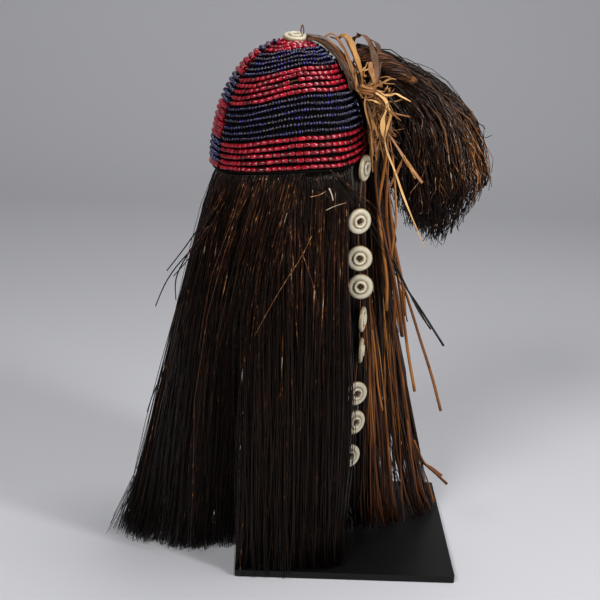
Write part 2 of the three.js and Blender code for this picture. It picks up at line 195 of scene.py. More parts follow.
# Ties: for each of the frame's nodes, how pale each leaf is and the line that it follows, with
# its width at each place
TIES = {
    "edge": [
        (0.3, [(13.2, -8, 595.4, 1.5), (23.1, -9, 593.1, 2), (32.7, -11, 591.4, 3), (41.1, -15, 585.1, 3.5),
            (49, -22, 574.4, 4), (54.7, -29, 563.6, 4), (59.3, -36, 552.9, 3.5), (64.5, -41, 538.7, 2.5)]),
        (0.5, [(29.8, -9, 592.1, 1.5), (38.9, -14, 588.1, 2), (47, -20, 579.4, 2.5), (53.8, -27, 568.7, 2.5),
            (58.5, -33, 558.9, 2)]),
        (0.12, [(17.2, -5, 594, 2), (30.1, -8, 590.4, 4), (41.5, -14, 581.7, 5), (50.4, -22, 570.1, 6),
            (56.9, -31, 556.4, 6), (62.9, -38, 540.3, 4)]),
    ],
    "loop_front": [
        (0.55, [(33.1, -4, 591, 2), (38, -6, 595.1, 3), (42.8, -10, 595.2, 4), (47.3, -16, 589.7, 4.5),
            (52, -22, 580.9, 4.5), (56.2, -28, 571.1, 4.5), (59.5, -33, 561.1, 4), (64.4, -40, 545, 3.5)]),
        (0.28, [(39.5, -5, 592.3, 2), (45.9, -12, 590.2, 3.5), (51.7, -18, 582.5, 4.5), (57.2, -26, 571.9, 5),
            (60.8, -32, 561, 5), (64.6, -38, 549, 4), (67.4, -43, 538, 3)]),
    ],
    "loop_middle": [
        (0.72, [(48.2, -2, 588.8, 2), (51.5, -6, 593.8, 3.5), (56.2, -10, 594.4, 5), (60.9, -15, 588.7, 6),
            (64, -21, 578.8, 6.5), (66.9, -28, 569.1, 6), (69.2, -35, 558.3, 5), (70.8, -42, 541.1, 4)]),
        (0.4, [(49.6, 0, 590.8, 3), (54.9, -6, 592.8, 4), (59.3, -13, 586.2, 4), (62.7, -20, 576.5, 4.5),
            (65.8, -29, 564.9, 4), (68, -37, 551, 4), (68.6, -42, 541, 3)]),
        (0.6, [(62.7, -33, 563.3, 1.5), (63.1, -39, 551.3, 2), (63.9, -43, 541.2, 2), (68.8, -47, 535.4, 2)]),
    ],
    "loop_high": [
        (0.27, [(69, 14, 583.7, 4), (70.5, 10, 590.9, 5.5), (73.5, 2, 594.8, 7), (77.3, -6, 594.3, 8.5),
            (81.3, -14, 588.9, 9), (84.6, -21, 580.2, 9), (86.1, -29, 569.5, 8.5), (86.2, -36, 558.7, 7),
            (84.2, -43, 545.8, 5)]),
        (0.2, [(81.4, -4, 590.8, 3), (86.7, -10, 589.6, 5), (90.6, -16, 585.1, 7), (91.4, -22, 576.2, 8),
            (89.5, -30, 565.4, 7), (87.1, -38, 553.6, 5)]),
        (0.62, [(78.7, -34, 570.2, 5), (79.4, -38, 562.2, 6.5), (81.1, -42, 554.2, 6.5), (83, -46, 544.1, 5),
            (80.7, -48, 536.8, 3)]),
    ],
    "back_strip": [
        (0.4, [(74, -41, 528, 2), (79, -42, 510, 3), (84, -42, 492, 3), (87, -42, 476, 2)]),
    ],
    "end_upper": [
        (0.6, [(63, -45, 541, 1.5), (69, -48, 540, 2), (76, -51, 544, 2.5), (84, -53, 548, 2.5),
            (91, -56, 553, 2.2), (98, -57, 556, 2), (103, -57, 555, 1.2)]),
    ],
    "end_thin": [
        (0.62, [(71, -49, 541, 1.5), (72, -50, 536, 2), (71, -51, 529, 2), (73, -51, 519, 2),
            (76, -53, 509, 1.8), (79, -54, 499, 1.5), (81, -55, 483, 2), (82, -56, 469, 2),
            (83, -58, 454, 1.5)]),
    ],
    "end_side": [
        (0.92, [(86, -50, 541, 1.5), (92, -54, 538, 1.5), (98, -56, 538, 2.8), (103, -59, 540, 2.6),
            (110, -61, 537, 2.2), (119, -64, 533, 1.2)]),
    ],
    "end_long": [
        (0.95, [(79, -48, 541, 1.5), (87, -53, 537, 3.5), (93, -55, 532, 6), (95, -56, 525, 4.5),
            (93, -57, 519, 2.2), (91, -57, 512, 4.5), (91, -57, 505, 6), (92, -57, 497, 4),
            (94, -57, 491, 1.6), (98, -58, 476, 2.2), (108, -60, 454, 2.4), (117, -62, 431, 2.6),
            (126, -65, 410, 3), (135, -67, 391, 2.6), (145, -69, 371, 0.6)]),
        (0.86, [(95, -56, 528, 2), (99, -58, 518, 3), (97, -58, 507, 3), (95, -58, 496, 2.5),
            (94, -58, 488, 1.5)]),
    ],
    "end_wide": [
        (0.6, [(93, -55, 507, 1.5), (98, -57, 497, 2), (107, -59, 484, 3), (116, -62, 471, 3.6),
            (128, -66, 455, 4.4), (137, -68, 444, 4)]),
        (0.5, [(115, -61, 470, 3), (110, -60, 455, 3), (105, -57, 441, 3), (101, -54, 430, 2)]),
        (0.74, [(116, -63, 474, 1), (124, -66, 457, 1.6), (129, -68, 449, 1)]),
    ],
    "knot": [
        (0.88, [(66, -43, 561, 1.2), (70, -45, 565, 1.8), (73, -46, 572, 1.6)]),
        (0.8, [(67, -43, 563, 1.2), (72, -45, 563, 1.6), (77, -47, 567, 1.2)]),
        (0.7, [(62, -45, 542, 1.2), (65, -47, 539, 1.5), (69, -49, 534, 1)]),
        (0.9, [(73, -49, 532, 1), (81, -52, 531, 2.6), (89, -54, 528, 1)]),
        (0.78, [(82, -53, 543, 1.2), (89, -56, 542, 1.4), (92, -58, 545, 1.2), (94, -57, 549, 0.8)]),
    ],
}
TIE_FACING = (0.4, -0.8, 0.4)
TIE_KNOT = (75, -47, 541)
TIE_KNOT_SIZE = (9, 6)
TIE_SHOULDER = [(14, -4, 593), (30, -6, 590), (44, -12, 580), (56, -20, 565), (64, -28, 545)]

# The roll of twisted fibre on the tuft, with its radius at each place
TUFT_ROLL = [
    (66, -12, 574, 7), (80.6, -16, 573, 8.5), (92.2, -20, 569.5, 9.5), (105.4, -23, 564, 9),
    (116.6, -25, 558, 7.5), (124.4, -27, 552.4, 5), (128.9, -28, 549.3, 3.6), (131.5, -29, 550.2, 3),
    (128, -29, 551.6, 2),
]
TUFT_STRAYS = [
    [(175, -8, 534), (186, -9, 527), (196, -10, 518), (207, -11, 513)],
    [(182, -10, 528), (194, -10, 517), (209, -11, 505), (223, -13, 494)],
    [(186, -10, 522), (198, -11, 509), (211, -12, 495), (222, -13, 484), (231, -14, 487)],
    [(150, -6, 552), (159, -8, 547), (168, -8, 544), (177, -10, 538)],
    [(192, -9, 518), (204, -11, 507), (212, -12, 499), (217, -13, 489)],
]

# Stray strands: for each hank, how pale each is, its half width and its line, in the frame's
# directions. The raffia strips come after them.
STRAYS = {
    "near_front": [
        (0.3, 0.6, [(-154, -62, 447), (-162, -60, 433), (-168, -58, 422), (-170, -57, 415)]),
        (0.35, 0.6, [(-151, -64, 444), (-160, -62, 432), (-167, -60, 420), (-169, -60, 411)]),
        (0.3, 0.6, [(-152, -62, 440), (-163, -60, 426), (-171, -60, 412)]),
        (0.4, 0.7, [(-153, -66, 431), (-165, -64, 408), (-178, -60, 387), (-195, -55, 360),
            (-212, -50, 335)]),
        (0.4, 0.7, [(-157, -64, 416), (-172, -62, 391), (-186, -58, 362), (-199, -56, 345), (-212, -54, 324),
            (-222, -50, 299), (-224, -50, 293)]),
        (0.45, 0.6, [(-150, -66, 420), (-168, -63, 385), (-188, -59, 352), (-204, -56, 331)]),
        (0.5, 0.7, [(-167, -62, 391), (-180, -60, 371), (-191, -58, 353), (-199, -56, 336), (-202, -56, 322),
            (-201, -56, 303)]),
        (0.8, 0.3, [(-55, -88, 392), (-66, -91, 367), (-83, -94, 338), (-97, -96, 311), (-112, -99, 280)]),
        (0.66, 0.32, [(-70, -89, 396), (-66, -90, 378), (-58, -92, 357), (-50, -94, 336), (-43, -96, 309)]),
    ],
    "front_near": [
        (0.3, 0.7, [(-185, -60, 305), (-191, -58, 281), (-200, -56, 252), (-211, -54, 224), (-225, -50, 189),
            (-232, -48, 165)]),
        (0.25, 0.7, [(-204, -55, 214), (-213, -54, 188), (-219, -52, 157), (-223, -50, 135)]),
    ],
    "near_back": [
        (0.85, 0.5, [(-58, -86, 434), (-49, -87, 437), (-42, -86, 441)]),
        (0.95, 0.4, [(-41, -86, 420), (-32, -86, 425), (-20, -85, 429)]),
        (1.0, 0.7, [(-39, -85, 444), (-36, -86, 438), (-34, -86, 431)]),
        (0.25, 0.5, [(-33, -66, 453), (-18, -60, 433), (2, -33, 402), (22, -32, 371), (39, -32, 343),
            (54, -33, 318)]),
        (0.4, 0.4, [(-27, -63, 451), (-6, -37, 421), (15, -32, 391), (36, -32, 357), (51, -32, 329)]),
        (0.1, 0.5, [(-21, -61, 446), (1, -33, 414), (23, -32, 379), (46, -32, 338), (69, -34, 302),
            (86, -36, 275)]),
        (0.3, 0.4, [(-15, -58, 441), (6, -32, 404), (27, -32, 368), (46, -32, 334)]),
        (0.5, 0.4, [(-53, -76, 452), (-39, -74, 432), (-24, -70, 411)]),
        (0.55, 0.4, [(-29, -64, 455), (-12, -51, 435), (8, -32, 411), (27, -32, 384)]),
        (0.6, 0.4, [(-38, -68, 460), (-12, -51, 438), (12, -32, 415), (33, -32, 396)]),
        (0.3, 0.4, [(-60, -80, 455), (-47, -79, 436), (-38, -78, 410), (-32, -77, 378)]),
        (0.4, 0.4, [(-24, -66, 452), (-34, -70, 430), (-46, -76, 402), (-54, -80, 376)]),
        (0.3, 0.4, [(-60, -80, 455), (-47, -79, 436), (-38, -78, 410), (-32, -77, 378)]),
        (0.4, 0.4, [(-24, -66, 452), (-34, -70, 430), (-46, -76, 402), (-54, -80, 376)]),
    ],
}
RAFFIA_STRAYS = [
    (0.74, 1.9, [(22, -14, 512), (26, -18, 480), (24, -22, 452), (20, -26, 410), (26, -30, 372),
        (34, -32, 330), (36, -32, 292)]),
    (0.56, 2.1, [(20, -12, 505), (27, -16, 472), (28, -20, 440), (30, -24, 396), (38, -28, 350),
        (45, -30, 306), (47, -30, 262)]),
    (0.8, 1.4, [(24, -10, 500), (33, -14, 466), (38, -18, 430), (41, -22, 392), (38, -26, 352),
        (45, -28, 312), (55, -30, 262)]),
    (0.64, 1.7, [(18, -14, 498), (24, -18, 462), (32, -20, 420), (40, -24, 372), (52, -28, 326),
        (58, -30, 286)]),
    (0.45, 1.9, [(18, -16, 494), (14, -22, 458), (18, -26, 420), (28, -30, 378), (40, -33, 338),
        (50, -34, 296), (56, -34, 262)]),
    (0.78, 1.8, [(44, -20, 347), (53, -20, 302), (60, -21, 266), (66, -22, 235), (76, -24, 192)]),
    (0.68, 1.7, [(40, -22, 361), (54, -24, 321), (67, -26, 286), (78, -28, 256), (93, -30, 216),
        (107, -32, 172)]),
    (0.6, 1.3, [(42, -22, 350), (57, -25, 312), (70, -27, 278), (80, -29, 250), (90, -30, 224)]),
    (0.0, 1.3, [(43, -26, 348), (56, -28, 321), (74, -30, 296), (104, -34, 253)]),
    (0.05, 1.0, [(36, -26, 360), (52, -29, 330), (72, -31, 294), (88, -33, 272)]),
    (0.75, 1.3, [(21, -36, 270), (27, -38, 234), (31, -40, 205), (38, -42, 174)]),
    (0.6, 2.2, [(77, -40, 138), (88, -42, 113), (100, -44, 105), (112, -46, 96)]),
    (0.5, 1.8, [(80, -42, 131), (91, -44, 111), (103, -46, 101), (119, -48, 87)]),
    (0.6, 1.0, [(91, -44, 102), (99, -46, 82), (105, -48, 62)]),
]
STRAY_STEPS = 16
STRIP_STEPS = 14

# Buttons, and the string that eight of them hang on, which lies in the frame's directions
BUTTON_OUTLINE = [
    (0, 0), (0.94, 0), (0.985, 0.05), (1, 0.2), (1, 0.42), (0.985, 0.6), (0.93, 0.77), (0.84, 0.9),
    (0.74, 0.92), (0.66, 0.88), (0.6, 0.8), (0.565, 0.74), (0.545, 0.72), (0.52, 0.74), (0.495, 0.86),
    (0.475, 1.02), (0.45, 1.18), (0.41, 1.26), (0.36, 1.24), (0.32, 1.12), (0.29, 0.96), (0.26, 0.82),
    (0.23, 0.74), (0.2, 0.7), (0.17, 0.68), (0.14, 0.67), (0.11, 0.66), (0.08, 0.66), (0.05, 0.66),
    (0, 0.66),
]
BUTTON_HOLE = 1.15
BUTTON_HOLE_OUT = 2.0
BUTTON_HOLE_DEEP = 2.2
BUTTON_SIDES = 60
# How clean a button's face is, from its middle to its rim
BUTTON_CLEAN = [
    (0, 0.26), (0.2, 0.34), (0.27, 0.5), (0.33, 0.78), (0.42, 0.9), (0.47, 0.7), (0.52, 0.46), (0.57, 0.52),
    (0.66, 0.68), (0.76, 0.78), (0.88, 0.74), (0.95, 0.6), (1, 0.42),
]
RIM_BUTTON_ANGLE = -32
RIM_BUTTON_OUT = 2.6
RIM_BUTTON_SPIN = 0.3
CROWN_BUTTON_RADIUS = 13.4

# How far the buttons stand off the string, and the string's own line from button 1 to the knot
CLEAR = 0.5
STRING_ROUTE = [
    (-0.4, -27.3, 463), (-0.4, -27.3, 452), (-0.4, -27.8, 441), (-1, -31.5, 430), (-1.9, -34.8, 419),
    (-2.4, -36, 409), (-2.6, -36.3, 398), (-1.8, -36.4, 385), (-0.4, -36.5, 371), (1, -36.5, 356),
    (2.6, -36.5, 340), (4.2, -36.5, 323), (5.4, -36.5, 304), (6.2, -36.5, 285), (6.6, -36.5, 266),
    (6.5, -36.5, 247), (5.9, -36.5, 229), (5.3, -36.5, 211), (5, -36.5, 194), (5.3, -36.5, 176),
    (5.3, -36.5, 157), (3.8, -36.5, 136), (1.4, -36.5, 115), (0.2, -36.5, 100),
]
STRING_RADIUS = 0.8
STITCH_RADIUS = 0.55
STRING_STEPS = 420
PLY_STEPS = 560

# The hanging buttons: their heights and the angles that they are turned by
BUTTON_PLACES = [
    (398, 24), (355, 2), (322, -2), (283.5, 76), (246, 82), (193.5, 28), (157.5, 36), (115.5, 30),
]
KNOT_RADIUS = 3
CROWN = DOME_BASE + DOME_RISE - 1
# The crown button: its place, the way it faces and its turn
CROWN_BUTTON = ((2, 0, CROWN), (0, -0.2, 1), 0.7)
CROWN_LOOP = [
    (8.4, 0, 4.8), (8, 0, 9.6), (9.4, 0, 14.2), (11, 0, 9.6), (10.8, 0, 4.8),
]

# Camera, fitted to the stand plate's corners
CAMERA_PLACE = (-0.10983, -1.55503, 0.79131)
CAMERA_DOWN = 17.835
CAMERA_TURN = -1.780
CAMERA_ROLL = 2.685
CAMERA_LENS = 85
CAMERA_SENSOR = 36
LIGHT_AIM = (-0.05, 0, 0.35)


def linear(hex_colour):
    """An sRGB hex colour as linear red, green, blue and alpha."""
    values = [int(hex_colour[i : i + 2], 16) / 255 for i in (1, 3, 5)]
    channels = [v / 12.92 if v <= 0.04045 else ((v + 0.055) / 1.055) ** 2.4 for v in values]
    return (*channels, 1.0)


def chance(name):
    """A seeded source of random numbers for one piece."""
    return np.random.default_rng(zlib.crc32(name.encode()))


def unit(vectors):
    return vectors / np.maximum(np.linalg.norm(vectors, axis=-1, keepdims=True), 1e-9)


def mix(start, end, share):
    return start + (end - start) * share


def ease(share):
    share = np.clip(share, 0, 1)
    return share * share * (3 - 2 * share)


def placed(points):
    """Points in the headdress's own millimetres, in the frame's metres."""
    turn = math.radians(CAP_TURN)
    x = points[..., 0] * math.cos(turn) - points[..., 1] * math.sin(turn) + CAP_X
    y = points[..., 0] * math.sin(turn) + points[..., 1] * math.cos(turn)
    return np.stack([x, y, points[..., 2]], -1) * MM


def cap_surface(angle, height, outside):
    """Points so far outside the cap's surface, and the ways that they face."""
    angle = np.radians(np.asarray(angle, float))
    share = np.clip((height - DOME_BASE) / DOME_RISE, 0, 0.9999)
    spread = np.sqrt(1 - share**DOME_POWER)
    x = CAP_LENGTH / 2 * np.cos(angle) * spread
    y = CAP_WIDTH / 2 * np.sin(angle) * spread
    rise = DOME_POWER * share ** (DOME_POWER - 1) / (2 * DOME_RISE)
    facing = unit(np.stack([x / (CAP_LENGTH / 2) ** 2, y / (CAP_WIDTH / 2) ** 2, rise + 0 * x], -1))
    return np.stack([x, y, height + 0 * x], -1) + facing * np.asarray(outside)[..., None], facing


def row_height(row, angle):
    """The height of a bead row at an angle, as in the frame."""
    up = (row - 0.5) / ROWS
    around = np.abs(np.asarray(angle, float))
    around = np.where(around > 180, 360 - around, around)
    side = ease((SEAM_ANGLE - around) / (SEAM_ANGLE - SIDE_ANGLE))
    dip = (RIM_DIP * (1 - up) + MIDDLE_DIP * np.sin(np.pi * up)) * (1 - side)
    climb = BACK_CLIMB * np.clip(1 - up, 0, 1) ** 3 * ease((BACK_ANGLE - around) / BACK_ANGLE)
    front = np.maximum(0, (around - SEAM_ANGLE) / (180 - SEAM_ANGLE))
    arch = FRONT_ARCH * np.sin(np.pi * up) * front
    return ROW_LOWEST + ROW_CLIMB * np.sin(np.radians(ROW_ARC * up)) - dip + climb + arch


def panel_end(row):
    """The angle from the cap's back at which a side panel's row ends."""
    return BACK_GAP + PARTING * np.exp(-(((row - PARTING_ROW) / PARTING_ROWS) ** 2))


def panel_spans(row):
    """The stretches of a row, by panel."""
    end = panel_end(row)
    return {
        "near": (-SEAM_ANGLE, -end),
        "far": (end, SEAM_ANGLE),
        "front": (SEAM_ANGLE + SEAM_GAP, 360 - SEAM_ANGLE - SEAM_GAP),
    }


def through(points, places):
    """Points on the smooth line through the given ones, at places counted in those points."""
    points = np.array(points, float)
    ends = np.vstack([2 * points[0] - points[1], points, 2 * points[-1] - points[-2]])
    index = np.clip(np.floor(places).astype(int), 0, len(points) - 2)
    share = (np.asarray(places) - index)[..., None]
    a, b, c, d = (ends[index + i] for i in range(4))
    return b + 0.5 * (
        (c - a) * share + (2 * a - 5 * b + 4 * c - d) * share**2 + (3 * b - a - 3 * c + d) * share**3
    )


def points_at(places, along, line):
    """Points, or other rows of numbers, at places along a line."""
    return np.stack([np.interp(places, along, column) for column in line.T], -1)


def smooth_line(points, count):
    """So many evenly spaced points on the smooth line through the given ones."""
    fine = through(points, np.linspace(0, len(points) - 1, 40 * len(points)))
    along = distances(fine[:, :3])
    return points_at(np.linspace(0, along[-1], count), along, fine)


def distances(lines):
    """How far along each line its points are."""
    steps = np.linalg.norm(np.diff(lines, axis=-2), axis=-1)
    return np.concatenate([0 * steps[..., :1], np.cumsum(steps, axis=-1)], axis=-1)


def make_piece(name, shape, surface, stands_for=None, in_frame=False):
    """A piece from points in millimetres, in the frame's directions or the headdress's own,
    arrays of faces, and the tone and grain that its material reads."""
    points, faces, tone, grain = shape
    points = points * MM if in_frame else placed(points)
    mesh = bpy.data.meshes.new(name)
    mesh.vertices.add(len(points))
    mesh.vertices.foreach_set("co", np.asarray(points, np.float32).ravel())
    corners = np.concatenate([group.ravel() for group in faces]).astype(np.int32)
    sizes = np.concatenate([np.full(len(group), group.shape[1]) for group in faces])
    mesh.loops.add(len(corners))
    mesh.loops.foreach_set("vertex_index", corners)
    mesh.polygons.add(len(sizes))
    mesh.polygons.foreach_set("loop_start", (np.cumsum(sizes) - sizes).astype(np.int32))
    mesh.update(calc_edges=True)
    if mesh.validate():
        raise RuntimeError(f"{name} has a face that had to be mended")
    mesh.attributes.new("tone", "FLOAT", "POINT").data.foreach_set("value", np.float32(tone))
    layer = mesh.attributes.new("grain", "FLOAT_VECTOR", "POINT")
    layer.data.foreach_set("vector", np.float32(grain).ravel())
    mesh.shade_smooth()
    mesh.materials.append(surface)
    piece = bpy.data.objects.new(name, mesh)
    bpy.context.collection.objects.link(piece)
    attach(piece, "root")
    if stands_for:
        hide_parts(stands_for)
    return piece


def ring_faces(rings, sides, closed):
    """Quads between rings of points, all round, and from the last ring to the first if closed."""
    row = np.arange(rings if closed else rings - 1)[:, None]
    column = np.arange(sides)[None, :]
    after = (row + 1) % rings
    beside = (column + 1) % sides
    corners = [row * sides + column, row * sides + beside, after * sides + beside, after * sides + column]
    return np.stack(corners, -1).reshape(-1, 4)


def repeated(faces, count, size):
    """Faces of one shape, for so many copies of it with so many points each."""
    return (faces[None] + (np.arange(count) * size)[:, None, None]).reshape(-1, faces.shape[1])


def sweep(paths, section, width, thickness, facing, tone, twist=0.0, seed=0):
    """Closed solids that carry a section along paths of shape (count, steps, 3). The section's
    first way is across and its second is the way that the path faces. Gives points, faces,
    tones, and the grain: across, along and a random start."""
    count, steps, _ = paths.shape
    sides = len(section)
    along = unit(np.gradient(paths, axis=1))
    across = unit(np.cross(along, np.broadcast_to(facing, paths.shape)))
    up = np.cross(across, along)
    turn, wide, thick, tone = (
        np.broadcast_to(value, (count, steps))[..., None] for value in (twist, width, thickness, tone)
    )
    flat = section[:, 0] * wide * np.cos(turn) - section[:, 1] * thick * np.sin(turn)
    deep = section[:, 0] * wide * np.sin(turn) + section[:, 1] * thick * np.cos(turn)
    points = paths[:, :, None] + across[:, :, None] * flat[..., None] + up[:, :, None] * deep[..., None]
    size = steps * sides
    ends = np.stack([np.arange(sides)[::-1], np.arange(sides) + size - sides])
    faces = [repeated(group, count, size) for group in (ring_faces(steps, sides, False), ends)]
    grain = np.empty(points.shape)
    grain[..., 0] = section[:, 0] * wide
    grain[..., 1] = distances(paths)[..., None]
    grain[..., 2] = np.random.default_rng(seed).uniform(0, 400, count)[:, None, None]
    tone = np.broadcast_to(tone, points.shape[:3])
    return points.reshape(-1, 3), faces, tone.ravel(), grain.reshape(-1, 3)


TRIANGLE = np.array([(math.cos(a), math.sin(a)) for a in (0.5, 0.5 + 2.0944, 0.5 + 4.1888)])
DIAMOND = np.array([(-1, 0), (0, -1), (1, 0), (0, 1)], float)
ROUND = np.array([(math.cos(a), math.sin(a)) for a in np.linspace(0, 2 * math.pi, 8, endpoint=False)])
TWO_PLY = ROUND * (0.8 + 0.2 * np.abs(ROUND[:, :1]))
# A leaf strip's section: a shallow channel, in half widths and half thicknesses
CURLED = np.array([
    (-1, 1.2), (-0.6, 0.1), (0, -0.5), (0.6, 0.1), (1, 1.2), (0.62, 1.1), (0, 0.6), (-0.62, 1.1),
])


def lathe(outline, segments):
    """Points and faces of a solid turned about Z, from (radius, height) points whose first
    and last are on the axis."""
    outline = np.array(outline, float)
    turn = np.linspace(0, 2 * math.pi, segments, endpoint=False)
    inner = outline[1:-1]
    rings = np.stack([inner[:, :1] * np.cos(turn), inner[:, :1] * np.sin(turn), inner[:, 1:] + 0 * turn], -1)
    points = np.vstack([rings.reshape(-1, 3), [(0, 0, outline[0, 1])], [(0, 0, outline[-1, 1])]])
    around = np.arange(segments)
    beside = (around + 1) % segments
    top = (len(inner) - 1) * segments
    bottom_cap = np.stack([beside, around, np.full(segments, len(points) - 2)], -1)
    top_cap = np.stack([top + around, top + beside, np.full(segments, len(points) - 1)], -1)
    return points, [ring_faces(len(inner), segments, False), bottom_cap, top_cap]


def add_node(tree, kind, inputs=None, stops=None, **settings):
    """A shader node with its settings. An input takes a value or another node's output, and
    stops are a ramp's places and colours."""
    node = tree.nodes.new(kind)
    for name, value in settings.items():
        setattr(node, name, value)
    for name, value in (inputs or {}).items():
        if isinstance(value, bpy.types.NodeSocket):
            tree.links.new(value, node.inputs[name])
        else:
            node.inputs[name].default_value = value
    if stops:
        elements = node.color_ramp.elements
        while len(elements) < len(stops):
            elements.new(1)
        for element, (place, colour) in zip(elements, stops):
            element.position = place
            element.color = linear(colour)
    return node


def new_material(name, **values):
    """A material with a Principled shader, and its node tree and shader. Values are set on
    the shader's own sockets, with _ for a space in their names."""
    material = bpy.data.materials.new(name)
    material.use_nodes = True
    shader = material.node_tree.nodes["Principled BSDF"]
    for socket, value in values.items():
        shader.inputs[socket.replace("_", " ")].default_value = value
    return material, material.node_tree, shader


def relief(tree, shader, place, scale, detail, strength, depth, roughness=0.5):
    """Raise a surface by noise, to a depth in metres. Gives the noise's height."""
    noise = add_node(
        tree, "ShaderNodeTexNoise",
        {"Vector": place, "Scale": scale, "Detail": detail, "Roughness": roughness},
    )
    bump = add_node(
        tree, "ShaderNodeBump", {"Height": noise.outputs["Fac"], "Strength": strength, "Distance": depth}
    )
    tree.links.new(bump.outputs["Normal"], shader.inputs["Normal"])
    return noise.outputs["Fac"]


def grained_material(name):
    """A material coloured by a piece's tone, varied by noise that follows its grain, with
    painted glints, pale flecks here and there along it, where its table gives them."""
    stops, scale, share, depth, painted_glint, values = GRAINED[name]
    material, tree, shader = new_material(name, **values)
    tone, grain = (
        add_node(tree, "ShaderNodeAttribute", attribute_name=layer) for layer in ("tone", "grain")
    )
    mapped = add_node(tree, "ShaderNodeMapping", {"Vector": grain.outputs["Vector"], "Scale": scale})
    place = mapped.outputs["Vector"]
    height = relief(
        tree, shader, place, scale=1.0, detail=3.0, roughness=0.6, strength=0.5, depth=depth
    )
    centred = add_node(tree, "ShaderNodeMath", {0: height, 1: 0.5}, operation="SUBTRACT")
    shade = add_node(
        tree, "ShaderNodeMath", {0: centred.outputs[0], 1: share, 2: tone.outputs["Fac"]},
        operation="MULTIPLY_ADD", use_clamp=True,
    )
    # Painted glints: pale flecks where a coarse noise along the grain runs high
    if painted_glint:
        painted_glint_noise = add_node(tree, "ShaderNodeTexNoise", {"Vector": place, "Scale": 1.0, "Detail": 1.0})
        pale = add_node(
            tree, "ShaderNodeMapRange",
            {"Value": painted_glint_noise.outputs["Fac"], "From Min": 0.6, "From Max": 0.72, "To Max": painted_glint},
        )
        shade = add_node(
            tree, "ShaderNodeMath", {0: shade.outputs[0], 1: pale.outputs[0]},
            operation="ADD", use_clamp=True,
        )
    ramp = add_node(tree, "ShaderNodeValToRGB", {"Fac": shade.outputs[0]}, stops=stops)
    tree.links.new(ramp.outputs["Color"], shader.inputs["Base Color"])
    return material


# The grained materials: a ramp of colours from dark to pale, the noise's scale across and
# along the grain, its share in the colour, its relief in metres, how bright its painted
# glints are, and the shader's own values
GRAINED = {
    # Drawn red glass tube, cut and tumbled: a clear gloss over an opaque crimson that
    # differs from bead to bead, with faint lines along each tube, and painted shade at its ends
    "Drawn_red_glass": (
        [(0, "#0C0204"), (0.3, "#54060F"), (0.55, "#86041A"), (0.8, "#9C0A22"), (1, "#B2121E")],
        (0.5, 2.2, 2.2), 0.5, 0.00004, 0, dict(Roughness=0.2, IOR=1.5, Coat_Weight=0.2, Coat_Roughness=0.05),
    ),
    # Wound navy glass, tumbled: nearly black, with a royal blue tint where it is thin, and painted shade at
    # its ends
    "Wound_navy_glass": (
        [(0, "#020206"), (0.35, "#050524"), (0.75, "#0B0B5A"), (1, "#16168C")],
        (0.6, 0.6, 0.6), 0.5, 0.00002, 0, dict(Roughness=0.08, IOR=1.5, Coat_Weight=0.6, Coat_Roughness=0.03),
    ),
    # Combed palm fibre, smoke-darkened: near black, with a few red-brown and grey strands and painted pale
    # glints
    "Smoke_dark_palm_fibre": (
        [(0, "#030202"), (0.34, "#0A0402"), (0.54, "#26120C"), (0.74, "#52301E"), (0.9, "#9A6028"),
         (1, "#B0A48E")],
        (0.8, 0.12, 1), 0.5, 0.0001, 0.22,
        dict(Roughness=0.32, IOR=1.45, Specular_IOR_Level=0.36, Specular_Tint=(1.0, 0.8, 0.68, 1.0)),
    ),
    # Raffia leaf, stripped and aged: golden brown, with fine lines along each strip
    "Aged_raffia_leaf": (
        [(0, "#0A0402"), (0.3, "#2A1204"), (0.55, "#643408"), (0.8, "#965C20"), (1, "#BE8A48")],
        (3.2, 0.05, 1), 0.6, 0.0002, 0, dict(Roughness=0.5, IOR=1.4),
    ),
    # Raffia leaf, stripped and sun-dried: grey-brown to straw coloured, a little glossy
    "Straw_raffia_leaf": (
        [(0, "#1A100A"), (0.25, "#523620"), (0.5, "#7E4C20"), (0.75, "#A27238"), (1, "#D2A468")],
        (3.6, 0.04, 1), 0.6, 0.0002, 0, dict(Roughness=0.42, IOR=1.45),
    ),
    # Two-ply spun plant thread: matt brown, with painted shade in the groove between its plies as they turn
    # along it
    "Spun_brown_thread": (
        [(0, "#241006"), (0.5, "#5A2E10"), (1, "#8A5626")],
        (2.5, 1.2, 1), 0.6, 0.0001, 0, dict(Roughness=0.75),
    ),
    # Knotted plant cord, dyed and blackened with use: matt and almost black
    "Blackened_net_cord": (
        [(0, "#030202"), (0.6, "#0A0604"), (1, "#1A100A")],
        (1.5, 0.8, 1), 0.7, 0.0002, 0, dict(Roughness=0.9, Specular_IOR_Level=0.1),
    ),
    # Moulded casein button, polished and yellowed: ivory with brown dirt in its grooves.
    # The tone is 0 in a groove or hole and 1 on the high places.
    "Yellowed_casein": (
        [(0, "#140B05"), (0.25, "#4A3420"), (0.5, "#8E7C5E"), (0.75, "#BCB49E"), (1, "#DAD5C6")],
        (0.35, 0.35, 0.35), 0.25, 0.00012, 0, dict(Roughness=0.38, IOR=1.5),
    ),
}


def black_paint():
    # Mild steel plate, sprayed satin black: a faint orange-peel in its gloss
    material, tree, shader = new_material("Satin_black_steel", Specular_IOR_Level=0.25)
    shader.inputs["Base Color"].default_value = linear("#060606")
    place = add_node(tree, "ShaderNodeTexCoord").outputs["Object"]
    speckle = relief(tree, shader, place, scale=900.0, detail=2.0, strength=0.25, depth=0.00005)
    gloss = add_node(tree, "ShaderNodeMapRange", {"Value": speckle, "To Min": 0.34, "To Max": 0.5})
    tree.links.new(gloss.outputs["Result"], shader.inputs["Roughness"])
    return material


